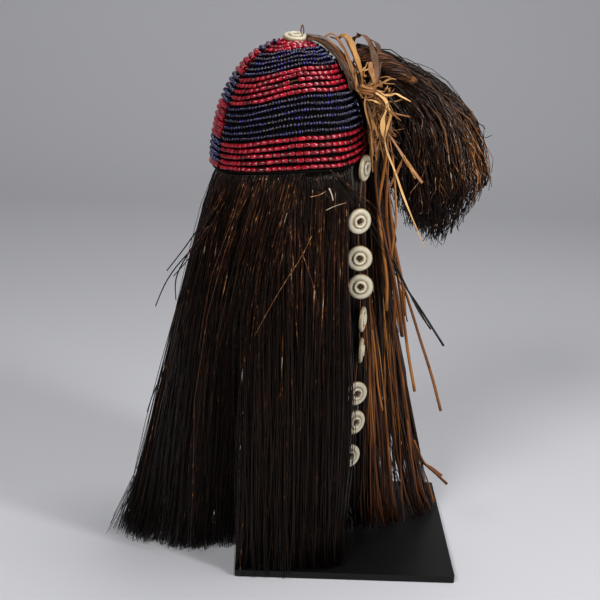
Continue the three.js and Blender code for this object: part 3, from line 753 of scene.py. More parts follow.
def black_felt():
    # Pressed wool felt over foam: matt black with a short nap
    material, tree, shader = new_material("Pressed_black_felt", Roughness=0.95, Sheen_Weight=0.4)
    place = add_node(tree, "ShaderNodeTexCoord").outputs["Object"]
    nap = relief(tree, shader, place, scale=700.0, detail=5.0, strength=0.6, depth=0.0003)
    shade = add_node(
        tree, "ShaderNodeValToRGB", {"Fac": nap}, stops=[(0.3, "#060606"), (0.7, "#1A1A1A")]
    )
    tree.links.new(shade.outputs["Color"], shader.inputs["Base Color"])
    return material


def length_property(name, description, millimetres):
    return bpy.props.FloatProperty(
        name=name, description=description, default=millimetres * MM, min=0.0, unit="LENGTH", precision=5
    )


def count_property(name, description, default):
    return bpy.props.IntProperty(name=name, description=description, default=default, min=10)


def power_property(name, description, default):
    return bpy.props.FloatProperty(name=name, description=description, default=default, min=0, unit="POWER")


class BeadSettings(bpy.types.PropertyGroup):
    """Sizes of the beads and their thread."""

    red_length: length_property("Red bead length", "Mean length of the red tube beads", 7.6)
    red_diameter: length_property("Red bead diameter", "Diameter of the red tube beads", 4.6)
    short_length: length_property("Short red bead length", "Mean length by the front seams", 4.4)
    blue_length: length_property("Blue bead length", "Length of the blue beads along their thread", 2.8)
    blue_diameter: length_property("Blue bead diameter", "Diameter of the blue beads", 3.8)
    gap: length_property("Bead gap", "Space between beads along their thread", 0.42)
    thread_radius: length_property("Thread radius", "Radius of the thread in the beads", 0.55)


class FringeSettings(bpy.types.PropertyGroup):
    """Sizes and numbers of the fringe's strands."""

    strand_radius: length_property("Strand radius", "Radius of a dark fibre at the rim", 0.62)
    strands: count_property("Strands", "Strands in each hank of the near side", 1150)
    far_strands: count_property("Far strands", "Strands in each hank of the far side", 680)
    blade_width: length_property("Raffia width", "Widest half width of a raffia strip", 2.4)
    blades: count_property("Raffia strips", "Strips in the near half of the raffia curtain", 420)
    tuft_strands: count_property("Tuft strands", "Strands in the tuft", 1600)


class ButtonSettings(bpy.types.PropertyGroup):
    """Sizes of the buttons."""

    radius: length_property("Button radius", "Radius of the hanging buttons", 14.7)
    thickness: length_property("Button thickness", "Thickness over the rolled edge", 4.4)


class StageSettings(bpy.types.PropertyGroup):
    """Studio light and floor."""

    key_power: power_property("Key light", "Power of the large soft light", 58)
    fill_power: power_property("Fill light", "Power of the light from the right", 26)
    backdrop: bpy.props.FloatVectorProperty(
        name="Backdrop", description="Colour of the floor and backdrop", subtype="COLOR",
        size=4, default=linear("#B8B8BC"),
    )


def bead_template(outline, sides=8):
    """A bead of unit length and radius with a hole along X: its points and faces, from
    (place, radius) points that go once round its wall."""
    place, radius = np.array(outline).T[..., None]
    turn = np.linspace(0, 2 * math.pi, sides, endpoint=False)
    points = np.stack([place + 0 * turn, radius * np.cos(turn), radius * np.sin(turn)], -1)
    return points.reshape(-1, 3), ring_faces(len(outline), sides, True)[:, ::-1]


TUBE_BEAD = bead_template([
    (-0.5, 0.6), (-0.46, 0.88), (-0.4, 1), (0.4, 1), (0.46, 0.88), (0.5, 0.6), (0.48, 0.34), (-0.48, 0.34),
])
ROUND_BEAD = bead_template([
    (-0.5, 0.3), (-0.38, 0.72), (-0.16, 0.98), (0.16, 0.98), (0.38, 0.72), (0.5, 0.3),
])


def row_line(row, panel, diameter):
    """A fine line along a row, through the middle of its beads: the angle, point and facing
    at each place."""
    angle = np.linspace(*panel_spans(row)[panel], ROW_POINTS)
    wave = np.sin(np.radians(angle * 5.3) + row * 2.4) + 0.7 * np.sin(np.radians(angle * 11.7) + row * 5.1)
    return angle, *cap_surface(angle, row_height(row, angle) + ROW_WANDER * wave, -diameter / 2)


def bead_places(row, panel, red, beads, angle, along, rng):
    """The start and end of each bead along a row."""
    lost_at, wide_at = (
        np.interp(at, angle, along) if (panel, row) == ("near", there) else math.inf
        for there, at in (LOST_BEAD, WIDE_GAP)
    )
    places = []
    reach = ROW_START
    while True:
        around = abs(np.interp(reach, along, angle))
        short = ease((min(around, 360 - around) - SHORT_FROM) / SHORT_WITHIN)
        length = beads.blue_length / MM * rng.uniform(0.88, 1.12)
        if red:
            length = mix(beads.red_length, beads.short_length, short) / MM * rng.uniform(0.82, 1.16)
        if reach + length > along[-1]:
            return np.array(places)
        if not reach < lost_at < reach + length:
            places.append((reach, reach + length))
        reach += length + beads.gap / MM * rng.uniform(0.3, 1.8) * (1 if red else 1.6)
        if reach > wide_at:
            reach += WIDE_GAP_EXTRA
            wide_at = math.inf


def bead_row(row, panel, red, beads):
    """The beads of one row: points, faces, tones and grain."""
    diameter = (beads.red_diameter if red else beads.blue_diameter) / MM
    angle, line, facing = row_line(row, panel, diameter)
    along = distances(line)
    rng = chance(f"{panel} row {row}")
    places = bead_places(row, panel, red, beads, angle, along, rng)
    each = (len(places), 1)
    first, last = (points_at(at, along, line) for at in places.T)
    outward = points_at(places.mean(1), along, facing)
    length = places[:, 1:] - places[:, :1]
    centre = (first + last) / 2 + outward * rng.uniform(-0.25, 0.05, each)
    centre[:, 2] += rng.normal(0, 0.12, len(places))
    forward = unit(last - first + rng.normal(0, 0.03 if red else 0.1, (len(places), 3)) * length)
    sideways = unit(np.cross(outward, forward))
    ways = [way[:, None] for way in (forward, sideways, np.cross(forward, sideways))]
    template, faces = TUBE_BEAD if red else ROUND_BEAD
    swell = FRONT_SWELL if panel == "front" else 1.0
    radius = swell * diameter / 2 * rng.uniform(0.93, 1.02 if red else 1.06, each)
    scaled = template[None] * np.stack([length, radius, radius], -1)
    tone = np.clip(rng.normal(0.56, 0.15, each), 0.12, 1)
    if not red:
        tone = np.clip(rng.normal(0.5, 0.2, each), 0, 1)
    grain = scaled + rng.uniform(0, 300, (len(places), 1, 3))
    # Painted shade: each bead is darker towards its ends, where shade falls between beads
    painted_end_shade = np.clip((0.5 - np.abs(template[:, 0])) / (0.045 if red else 0.3), 0.1, 1)
    points = along_ways(scaled, ways, centre[:, None]).reshape(-1, 3)
    faces = [repeated(faces, len(places), len(template))]
    return points, faces, (tone * painted_end_shade).ravel(), grain.reshape(-1, 3)


def joined(parts):
    """Several (points, faces, tone, grain) as one."""
    offset = 0
    groups = {}
    for points, faces, _, _ in parts:
        for group in faces:
            groups.setdefault(group.shape[1], []).append(group + offset)
        offset += len(points)
    points, _, tones, grains = zip(*parts)
    faces = [np.concatenate(same) for same in groups.values()]
    return np.concatenate(points), faces, np.concatenate(tones), np.concatenate(grains)


class HEADDRESS_OT_camera(bpy.types.Operator):
    """Set the camera where the photograph was taken from"""

    bl_idname = "headdress.camera"
    bl_label = "Camera"

    def execute(self, context):
        camera = bpy.data.cameras.new("Camera")
        camera.lens = CAMERA_LENS
        camera.sensor_width = CAMERA_SENSOR
        holder = bpy.data.objects.new("Camera", camera)
        context.collection.objects.link(holder)
        turn, down, roll = (math.radians(a) for a in (CAMERA_TURN, CAMERA_DOWN, CAMERA_ROLL))
        aim = Matrix.Rotation(turn, 4, "Z") @ Matrix.Rotation(math.pi / 2 - down, 4, "X")
        holder.matrix_world = Matrix.Translation(CAMERA_PLACE) @ aim @ Matrix.Rotation(roll, 4, "Z")
        context.scene.camera = holder
        return {"FINISHED"}


def along_ways(points, ways, origin=0):
    """Points that are given along three ways of their own, from an origin."""
    return sum((points[..., i : i + 1] * way for i, way in enumerate(ways)), origin)


def turned_to(points, facing, spin):
    """Points turned so that their Z faces one way, and turned about it by spin."""
    facing = unit(np.array(facing, float))
    level = np.array([0, 0, 1.0]) if abs(facing[2]) < 0.9 else np.array([0, 1.0, 0])
    across = unit(np.cross(level, facing))
    up = np.cross(facing, across)
    first = across * math.cos(spin) + up * math.sin(spin)
    second = up * math.cos(spin) - across * math.sin(spin)
    return along_ways(points, (first, second, facing))


def button_mesh(radius, thickness, rng):
    """A button with its back at the origin, facing +Z: points, faces, tone and grain."""
    points, faces = lathe(np.array(BUTTON_OUTLINE) * (radius, thickness), BUTTON_SIDES)
    x, y, z = points.T
    out = np.hypot(x, y) / radius
    front = z > thickness * 0.45
    pits = np.zeros(len(points))
    for turn in math.pi / 4 + np.arange(4) * math.pi / 2:
        gap = np.hypot(x - BUTTON_HOLE_OUT * math.cos(turn), y - BUTTON_HOLE_OUT * math.sin(turn))
        pits = np.maximum(pits, ease((BUTTON_HOLE - gap) / (0.45 * BUTTON_HOLE) + 0.5))
    clean = np.interp(out, *np.array(BUTTON_CLEAN).T)
    tone = np.where(front, clean * (1 - 0.95 * pits), 0.45)
    z -= BUTTON_HOLE_DEEP * pits * front * (out < 0.3)
    z += np.where(front, 0.12 * np.sin(np.arctan2(y, x) * 2 + 1), 0)
    return points, faces, tone, points + rng.uniform(0, 200, 3)


def make_button(name, radius, thickness, back, facing, spin, surface, in_frame=False):
    """One button, its back at a point and facing one way, in the frame or in the headdress."""
    points, faces, tone, grain = button_mesh(radius, thickness, chance(name))
    shape = (turned_to(points, facing, spin) + np.array(back, float), faces, tone, grain)
    return make_piece(name + "_casein", shape, surface, name, in_frame)


def stitches(back, facing, spin, thickness):
    """The thread that crosses a button's holes, as paths."""
    bends = [
        (-1.15 * BUTTON_HOLE_OUT, 0.25 * thickness), (-BUTTON_HOLE_OUT, 0.55 * thickness),
        (-0.4, 0.66 * thickness + 0.3),
        (BUTTON_HOLE_OUT, 0.55 * thickness), (1.15 * BUTTON_HOLE_OUT, 0.25 * thickness),
    ]
    lines = [
        [(out * math.cos(turn), out * math.sin(turn), up) for out, up in bends]
        for turn in (math.pi / 4, 3 * math.pi / 4)
    ]
    return [turned_to(smooth_line(line, 14), facing, spin) + np.array(back, float) for line in lines]


def twisted(paths, radius, turns_apart, name):
    """A two-ply cord along each path: points, faces, tone and grain."""
    paths = np.array(paths)
    twist = distances(paths) * math.pi / turns_apart
    points, faces, _, grain = sweep(
        paths, TWO_PLY, radius, radius, (0.31, 0.2, 0.93), 0, twist, zlib.crc32(name.encode())
    )
    # Painted shade: each ply is darker towards the groove between the plies
    painted_ply_shade = 0.25 + 0.5 * np.abs(ROUND[:, 0])
    return points, faces, np.tile(painted_ply_shade, len(points) // len(ROUND)), grain


class HEADDRESS_OT_buttons(bpy.types.Operator):
    """Hang the button string with its eight buttons and knot, and sew the ninth to the rim"""

    bl_idname = "headdress.buttons"
    bl_label = "Buttons"

    def execute(self, context):
        settings = context.scene.headdress_buttons
        radius = settings.radius / MM
        thickness = settings.thickness / MM
        thread = grained_material("Spun_brown_thread")
        shell = grained_material("Yellowed_casein")
        ply = twisted([smooth_line(STRING_ROUTE, PLY_STEPS)], STRING_RADIUS, 2.6, "string")
        string = make_piece("button_string_ply", ply, thread, "button_string", in_frame=True)

        line = smooth_line(STRING_ROUTE, STRING_STEPS)
        sewn = []
        for number, (height, turn) in enumerate(BUTTON_PLACES, 2):
            facing = (math.sin(math.radians(turn)), -math.cos(math.radians(turn)), 0)
            back = line[np.argmax(line[:, 2] <= height)] + np.array(facing) * (STRING_RADIUS + CLEAR)
            spin = chance(f"spin {number}").uniform(0, math.pi)
            name = f"button_{number}"
            make_button(name, radius, thickness, back, facing, spin, shell, in_frame=True)
            sewn += stitches(back, facing, spin, thickness)

        rim, facing = cap_surface(RIM_BUTTON_ANGLE, DOME_BASE, RIM_BUTTON_OUT)
        make_button("button_1", radius, thickness, rim, facing, RIM_BUTTON_SPIN, shell)
        sewn += [placed(path) / MM for path in stitches(rim, facing, RIM_BUTTON_SPIN, thickness)]
        points, faces, tone, grain = twisted(sewn, STITCH_RADIUS, 2, "stitches")
        shape = (points, faces, tone * 0.5, grain)
        make_piece("button_stitches", shape, thread, in_frame=True)

        knot = self.knot(line[-1] - (0, 0, KNOT_RADIUS + CLEAR), thread)
        return {"FINISHED"}

    def knot(self, centre, thread):
        """The string's end knot: an overhand turn pulled tight, with a short tail."""
        turn = np.linspace(0, 2 * math.pi, 90)
        tight = np.stack([
            1.35 * (np.sin(turn) + 0.9 * np.sin(2 * turn)),
            1.1 * np.sin(3 * turn),
            1.35 * (np.cos(turn) - 0.9 * np.cos(2 * turn)),
        ], -1)
        tail = through([(0.2, -0.3, -1.8), (0.5, -0.5, -4), (0.2, -0.6, -6.5)], np.linspace(0, 2, 90))
        turns = twisted([tight + centre, tail + centre], 0.8, 2.4, "knot")
        return make_piece("string_knot_turns", turns, thread, "string_knot", in_frame=True)


class HEADDRESS_OT_net(bpy.types.Operator):
    """Knot the blackened net that the beads are sewn on"""

    bl_idname = "headdress.net"
    bl_label = "Net"

    def execute(self, context):
        angle = np.linspace(0, 360, 48, endpoint=False)
        rows = [*np.linspace(0.3, 24.2, 22), 24.35, 24.45]
        outer, inner = (
            [cap_surface(angle, row_height(row, angle), -inside)[0] for row in rows]
            for inside in (NET_OUTSIDE, NET_OUTSIDE + NET_THICK)
        )
        rings = np.array(outer + inner[::-1])
        points = rings.reshape(-1, 3)
        flat = (points, [ring_faces(len(rings), len(angle), True)], np.full(len(points), 0.1), points)

        share = np.linspace(0, 1, 24)
        paths = []
        for lean in (-NET_LEAN, NET_LEAN):
            for start in range(0, 360, 10):
                along = start + lean * share
                paths.append(cap_surface(along, row_height(mix(0.5, ROWS, share), along), -CORD_INSIDE)[0])
        around = np.linspace(-180, 180, 121)
        rims = [
            cap_surface(around, row_height(0.4, around) + lift, -inside)[0]
            for lift, inside in ((0, 3.4), (-1.6, 4.6), (-0.4, 6.4))
        ]
        rng = chance("net")
        parts = [flat]
        for seed, lines, section, half, tones in (
            (1, paths, DIAMOND, CORD_RADIUS, (0.2, 0.9)), (2, rims, ROUND, RIM_CORD_RADIUS, (0.1, 0.5)),
        ):
            points, faces, _, grain = sweep(np.array(lines), section, half, half, UP, 0, seed=seed)
            parts.append((points, faces, rng.uniform(*tones, len(points)), grain))
        surface = grained_material("Blackened_net_cord")
        make_piece("cap_net_cords", joined(parts), surface, "cap_net")
        return {"FINISHED"}


class HEADDRESS_OT_beads(bpy.types.Operator):
    """Sew the rows of red and blue beads on their threads"""

    bl_idname = "headdress.beads"
    bl_label = "Beads"

    def execute(self, context):
        beads = context.scene.headdress_beads
        glass = {"red": grained_material("Drawn_red_glass"), "blue": grained_material("Wound_navy_glass")}
        threads = []
        for panel in ("near", "far", "front"):
            bands = FRONT_BANDS if panel == "front" else SIDE_BANDS
            for band, (first, last) in bands.items():
                colour = band.split("_")[0]
                red = colour == "red"
                diameter = (beads.red_diameter if red else beads.blue_diameter) / MM
                rows = range(first, last + 1)
                name = f"beads_{panel}_{band}"
                shape = joined([bead_row(row, panel, red, beads) for row in rows])
                make_piece(name + "_glass", shape, glass[colour], name)
                for row in rows:
                    _, line, _ = row_line(row, panel, diameter)
                    threads.append(line[np.linspace(0, len(line) - 1, THREAD_POINTS).astype(int)])
        radius = beads.thread_radius / MM
        tone = chance("threads").uniform(0.5, 1, (len(threads), 1))
        shape = sweep(np.array(threads), TRIANGLE, radius, radius, UP, tone, seed=3)
        make_piece("bead_threads", shape, grained_material("Spun_brown_thread"))
        return {"FINISHED"}


def hank_point(shape, hank, across, down, depth):
    """Points in a hank: across it from 0 to 1, down from the rim at 0 to the ground at 1, and
    so deep behind its outer face."""
    from_angle, to_angle, foot, towards = hank
    angle = mix(from_angle, to_angle, across)
    top, _ = cap_surface(angle, row_height(0.5, angle), 1 - shape["top"] / 2 - shape["inset"])
    first, middle, last = np.array(foot, float)
    control = 2 * middle - (first + last) / 2
    share = across[..., None]
    bottom = (1 - share) ** 2 * first + 2 * share * (1 - share) * control + share**2 * last
    puff = shape["puff"]
    spread = puff * (1 - np.exp(-down / shape["fall"])) + (1 - puff) * down**SPREAD_POWER
    plan = mix(top[..., :2], bottom, spread[..., None])
    plan = plan + unit(np.array(towards) * down[..., None] - plan) * depth[..., None]
    height = mix(top[..., 2] - RIM_DROP, 0, down)
    return np.concatenate([plan, height[..., None]], -1)


def ground(points):
    """The height of what lies under points of the headdress: the plate or the floor."""
    frame_points = placed(points) / MM
    half = PLATE_SIDE / 2 + 1
    on_plate = (np.abs(frame_points[..., 0]) < half) & (np.abs(frame_points[..., 1]) < half)
    return np.where(on_plate, PLATE_THICK + 0.6, 0.6)


def frizzed(paths, amount, rng):
    """Paths with bends of their own, growing along each."""
    count, steps, _ = paths.shape
    share = np.linspace(0, 1, steps)[:, None]
    bend = np.zeros(paths.shape)
    for waves in (1.5, 3.1, 5.3):
        phase = rng.uniform(0, 2 * math.pi, (count, 1, 3))
        bend += rng.normal(0, 1 / waves, (count, 1, 3)) * np.sin(2 * math.pi * waves * share + phase)
    return paths + bend * amount * (0.45 + 0.55 * share)


def strand_set(shape, hank, count, locks, downs, rng, spread, reach=(0, 1), length=(0.86, 1)):
    """Paths of a hank's strands, which gather in locks, with how far down each point is, how
    deep each strand lies and where across the hank it starts."""
    each = (count, 1)
    lock = rng.integers(0, locks, each)
    width = (reach[1] - reach[0]) / locks
    home = reach[0] + (lock + rng.uniform(0, 1, each)) * width
    centre = reach[0] + (lock + 0.5) * width
    end = np.where(rng.random(each) < TO_GROUND, 1.012, rng.uniform(*length, each))
    end = np.where(rng.random(each) < BROKEN, rng.uniform(0.16, 0.8, each), end)
    down = downs[None] * end
    gather = 0.6 * np.sin(np.pi * np.clip(down, 0, 1)) ** 2
    lock_lean = rng.normal(0, spread, (locks, 1))[lock[:, 0]]
    lean = rng.normal(0, spread, each) + lock_lean
    wave = rng.normal(0, 0.35 * spread, each) * np.sin(7 * down + rng.uniform(0, 6, each))
    across = home + (centre - home) * gather + lean * down + wave
    across = np.clip(across, reach[0] - OVERLAP, reach[1] + OVERLAP)
    lock_depth = rng.normal(0, 0.1, (locks, 1))[lock[:, 0]]
    depth_share = np.clip(rng.beta(0.8, 1.8, each) + lock_depth, 0, 1)
    bow = rng.normal(0, 0.07, each) * np.sin(np.pi * downs[None])
    lift = np.where(rng.random(each) < LIFTED, rng.uniform(0, shape["lift"], each), 0)
    lock_lift = np.where(rng.random((locks, 1)) < LOCKS_LIFTED, rng.uniform(0, shape["lift"], (locks, 1)), 0)
    lift = (lift + lock_lift[lock[:, 0]] * rng.uniform(0, 1, each)) * down * (1.4 - down)
    depth = mix(shape["top"], shape["foot"], down) * np.clip(depth_share + bow, 0, 1) + 0.4 - lift
    paths = hank_point(shape, hank, across, down, depth)
    paths[:, 1:] = frizzed(paths, shape["frizz"], rng)[:, 1:]
    outward = unit(paths[:, -1] * (1, 1, 0))
    standing = (end[:, 0] > 1) & (rng.random(count) < SPLAYED)
    splay = np.minimum(rng.exponential(shape["splay"], count), MOST_SPLAY)
    paths[:, -1] += outward * (standing * splay)[:, None]
    paths[..., 2] = np.maximum(paths[..., 2], ground(paths) + rng.uniform(0, 3, each))
    return paths, down, depth_share, home


def swept_set(parts):
    """Several sets of (paths, section, half width, half thickness, twist, tone) as one mesh."""
    return joined([
        sweep(paths, section, width, thickness, paths * (1, 1, 0), np.clip(tone, 0, 1), twist, number)
        for number, (paths, section, width, thickness, twist, tone) in enumerate(parts)
    ])


def in_headdress(points):
    """Points in the frame's directions, as points in the headdress's own."""
    points = np.array(points, float) - (CAP_X, 0, 0)
    turn = math.radians(CAP_TURN)
    x = points[..., 0] * math.cos(turn) + points[..., 1] * math.sin(turn)
    y = points[..., 1] * math.cos(turn) - points[..., 0] * math.sin(turn)
    return np.stack([x, y, points[..., 2]], -1)


def painted_fringe_light_and_shade(down):
    """Painted light and shade on the dark fibre by how far down it is: painted shade just under the rim, a
    painted lit band a little below it, and darker towards the ground.
    """
    return np.interp(down, [0, 0.03, 0.14, 0.4, 0.75, 1.1], [0.1, 0.6, 1.35, 0.95, 0.66, 0.6])


def dull_stretches_and_painted_glints(down, rng):
    """Stretches along each strand that are dull, and a few short painted glints: pale points in its upper
    half.
    """
    pale = (rng.random(down.shape) < 0.02) & (down > 0.04) & (down < 0.5)
    return rng.uniform(0.35, 1.35, down.shape), 0.9 * pale


def walked(paths, places):
    """Points on each of the paths, at places counted in that path's points."""
    low = np.minimum(places, paths.shape[1] - 1.001).astype(int)
    row = np.arange(len(paths))[:, None]
    return mix(paths[row, low], paths[row, low + 1], (places - low)[..., None])


class HEADDRESS_OT_fringe(bpy.types.Operator):
    """Hang the dark fibre fringe in its six hanks"""

    bl_idname = "headdress.fringe"
    bl_label = "Fringe"

    def execute(self, context):
        settings = context.scene.headdress_fringe
        surface = grained_material("Smoke_dark_palm_fibre")
        for label in FRINGE:
            rng = chance("fringe " + label)
            downs = np.array(NEAR_DOWNS if "near" in label else FAR_DOWNS)
            parts = [self.strands(settings, label, downs, rng)]
            if label == "near_front":
                parts.append(self.leaning(settings, downs, rng))
            for pale, half, line in STRAYS.get(label, ()):
                path = in_headdress(smooth_line(line, STRAY_STEPS))[None]
                taper = np.linspace(1.5, 1, STRAY_STEPS) * half
                parts.append((path, TRIANGLE, taper, taper, 0.0, pale))
            make_piece(f"fringe_{label}_fibres", swept_set(parts), surface, "fringe_" + label)
        return {"FINISHED"}

    def strands(self, settings, label, downs, rng):
        shape = FRONT_HANK if label.startswith("front") else DARK_HANK
        count = settings.strands if "near" in label else settings.far_strands
        each = (count, 1)
        paths, down, depth_share, home = strand_set(shape, FRINGE[label], count, 34, downs, rng, 0.075)
        radius = settings.strand_radius / MM * mix(1, 0.6, downs) * rng.uniform(0.65, 1.35, each)
        if label == "near_back":
            swell = np.exp(-(((down - 0.62) / 0.22) ** 2)) * np.clip(1 - home / 0.3, 0, 1)
            paths[..., 0] += BACK_SWELL * swell
        # pale marks the painted glints
        dull, pale = dull_stretches_and_painted_glints(down, rng)
        # Painted light and shade down each strand
        tone = np.minimum(rng.normal(0.36, 0.24, each) * painted_fringe_light_and_shade(down) * dull, 0.68)
        # Strands deeper in the hank are darker: painted shade inside it
        return paths, TRIANGLE, radius, radius, 0.0, (tone + pale) * (1 - 0.85 * depth_share)

    def leaning(self, settings, downs, rng):
        """Strands over the near side that lean to the front and break off above the ground."""
        count = settings.strands * 11 // 20
        each = (count, 1)
        paths, _, _, home = strand_set(LEANING_HANK, LEANING, count, 40, downs, rng, 0.09)
        reach = np.where(home < 0.6, rng.uniform(0.14, 0.66, each), rng.uniform(0.3, 1, each))
        paths = walked(paths, reach * downs * (len(downs) - 1))
        radius = settings.strand_radius / MM * mix(1, 0.6, downs) * rng.uniform(0.65, 1.3, each)
        # pale marks the painted glints
        dull, pale = dull_stretches_and_painted_glints(reach * downs, rng)
        # Painted light and shade down each strand
        tone = rng.normal(0.38, 0.24, each) * painted_fringe_light_and_shade(reach * downs) * dull
        return paths, TRIANGLE, radius, radius, 0.0, np.minimum(tone, 0.7) + pale


class HEADDRESS_OT_raffia(bpy.types.Operator):
    """Hang the golden raffia curtain at the back in its two halves"""

    bl_idname = "headdress.raffia"
    bl_label = "Raffia curtain"

    def execute(self, context):
        settings = context.scene.headdress_fringe
        surface = grained_material("Aged_raffia_leaf")
        downs = np.linspace(0, 1, 12) ** 1.1
        for label, hank in CURTAIN.items():
            near = label == "near"
            rng = chance("raffia " + label)
            count = settings.blades if near else settings.blades * 3 // 4
            each = (count, 1)
            wide = rng.random(each) < 0.5
            paths, down, depth_share, home = strand_set(
                LIGHT_HANK, hank, count, 16, downs, rng, 0.1, (-0.35, 1) if near else (0, 1), (0.7, 1)
            )
            width = np.where(wide, rng.uniform(0.5, 1, each), rng.uniform(0.18, 0.4, each))
            width = width * (settings.blade_width / MM)
            width = width * (0.75 + 0.25 * np.sin(5 * down + rng.uniform(0, 6, each))) * (1 - 0.4 * downs**4)
            turn = (1.25 if near else -1.25) + rng.normal(0, 0.5, each)
            turn = turn + rng.normal(0, 1.4, each) * downs
            # Darker towards the bottom, and darker deeper in the hank: painted shade inside it
            tone = rng.normal(0.58, 0.22, each) * (1.15 - 0.5 * down) * (1 - 0.7 * depth_share)
            tone = tone * np.where(rng.random(each) < 0.25, 0.3, 1)
            parts = []
            if near:
                # Painted shade: the strips that run in under the near side's fringe, behind the buttons, are
                # darkened
                tone = tone * (0.12 + 0.88 * ease((home - 0.2) / 0.45))
                gap = np.exp(-(((down - 0.24) / 0.2) ** 2)) * ease((home - 0.35) / 0.5)
                paths[..., 0] -= CURTAIN_GAP * gap
                parts = [self.falls(rng)]
                for pale, half, line in RAFFIA_STRAYS:
                    path = in_headdress(smooth_line(line, STRIP_STEPS))[None]
                    parts.append((path, DIAMOND, half, 0.35, np.linspace(1.0, 1.7, STRIP_STEPS), pale))
            shape = swept_set([(paths, DIAMOND, width, 0.28, turn, tone), *parts])
            make_piece(f"raffia_{label}_strips", shape, surface, "raffia_" + label)
        return {"FINISHED"}

    def falls(self, rng):
        """Strips that fall from under the knot, behind the cap, into the curtain."""
        each = (110, 1)
        share = np.linspace(0, 1, 10)
        angle = rng.uniform(-10, 18, each) + rng.normal(0, 5, each) * share
        start = rng.uniform(495, 545, each)
        height = mix(start, rng.uniform(240, 430, each), share)
        outside = rng.uniform(5, 14, each) + rng.uniform(2, 20, each) * share**1.4
        paths, _ = cap_surface(angle, height, outside)
        paths[..., 0] += np.maximum(0, 440 - height) * 0.14
        paths = frizzed(paths, 2.4, rng)
        width = rng.uniform(0.5, 2.0, each) * (1 - 0.5 * share**3)
        turn = 1.2 + rng.normal(0, 0.5, each) + rng.normal(0, 1.0, each) * share
        tone = rng.normal(0.44, 0.2, each) * (0.35 + 0.65 * ease((angle + 8) / 12))
        return paths, DIAMOND, width, 0.3, turn, tone


def tuft_point(place, turn, out):
    """Points in the tuft: their place along it in sections, their turn round it and how far out."""
    outer = through([(x, 0, z) for (x, z), _, _ in TUFT], place)
    inner = through([(x, 0, z) for _, (x, z), _ in TUFT], place)
    fullness = np.interp(place, range(len(TUFT)), [full for _, _, full in TUFT])
    half = (outer - inner) / 2
    across = np.linalg.norm(half, axis=-1) * fullness * np.sin(turn) * out
    return (outer + inner) / 2 + half * (np.cos(turn) * out)[..., None] + across[..., None] * [0, 1, 0]


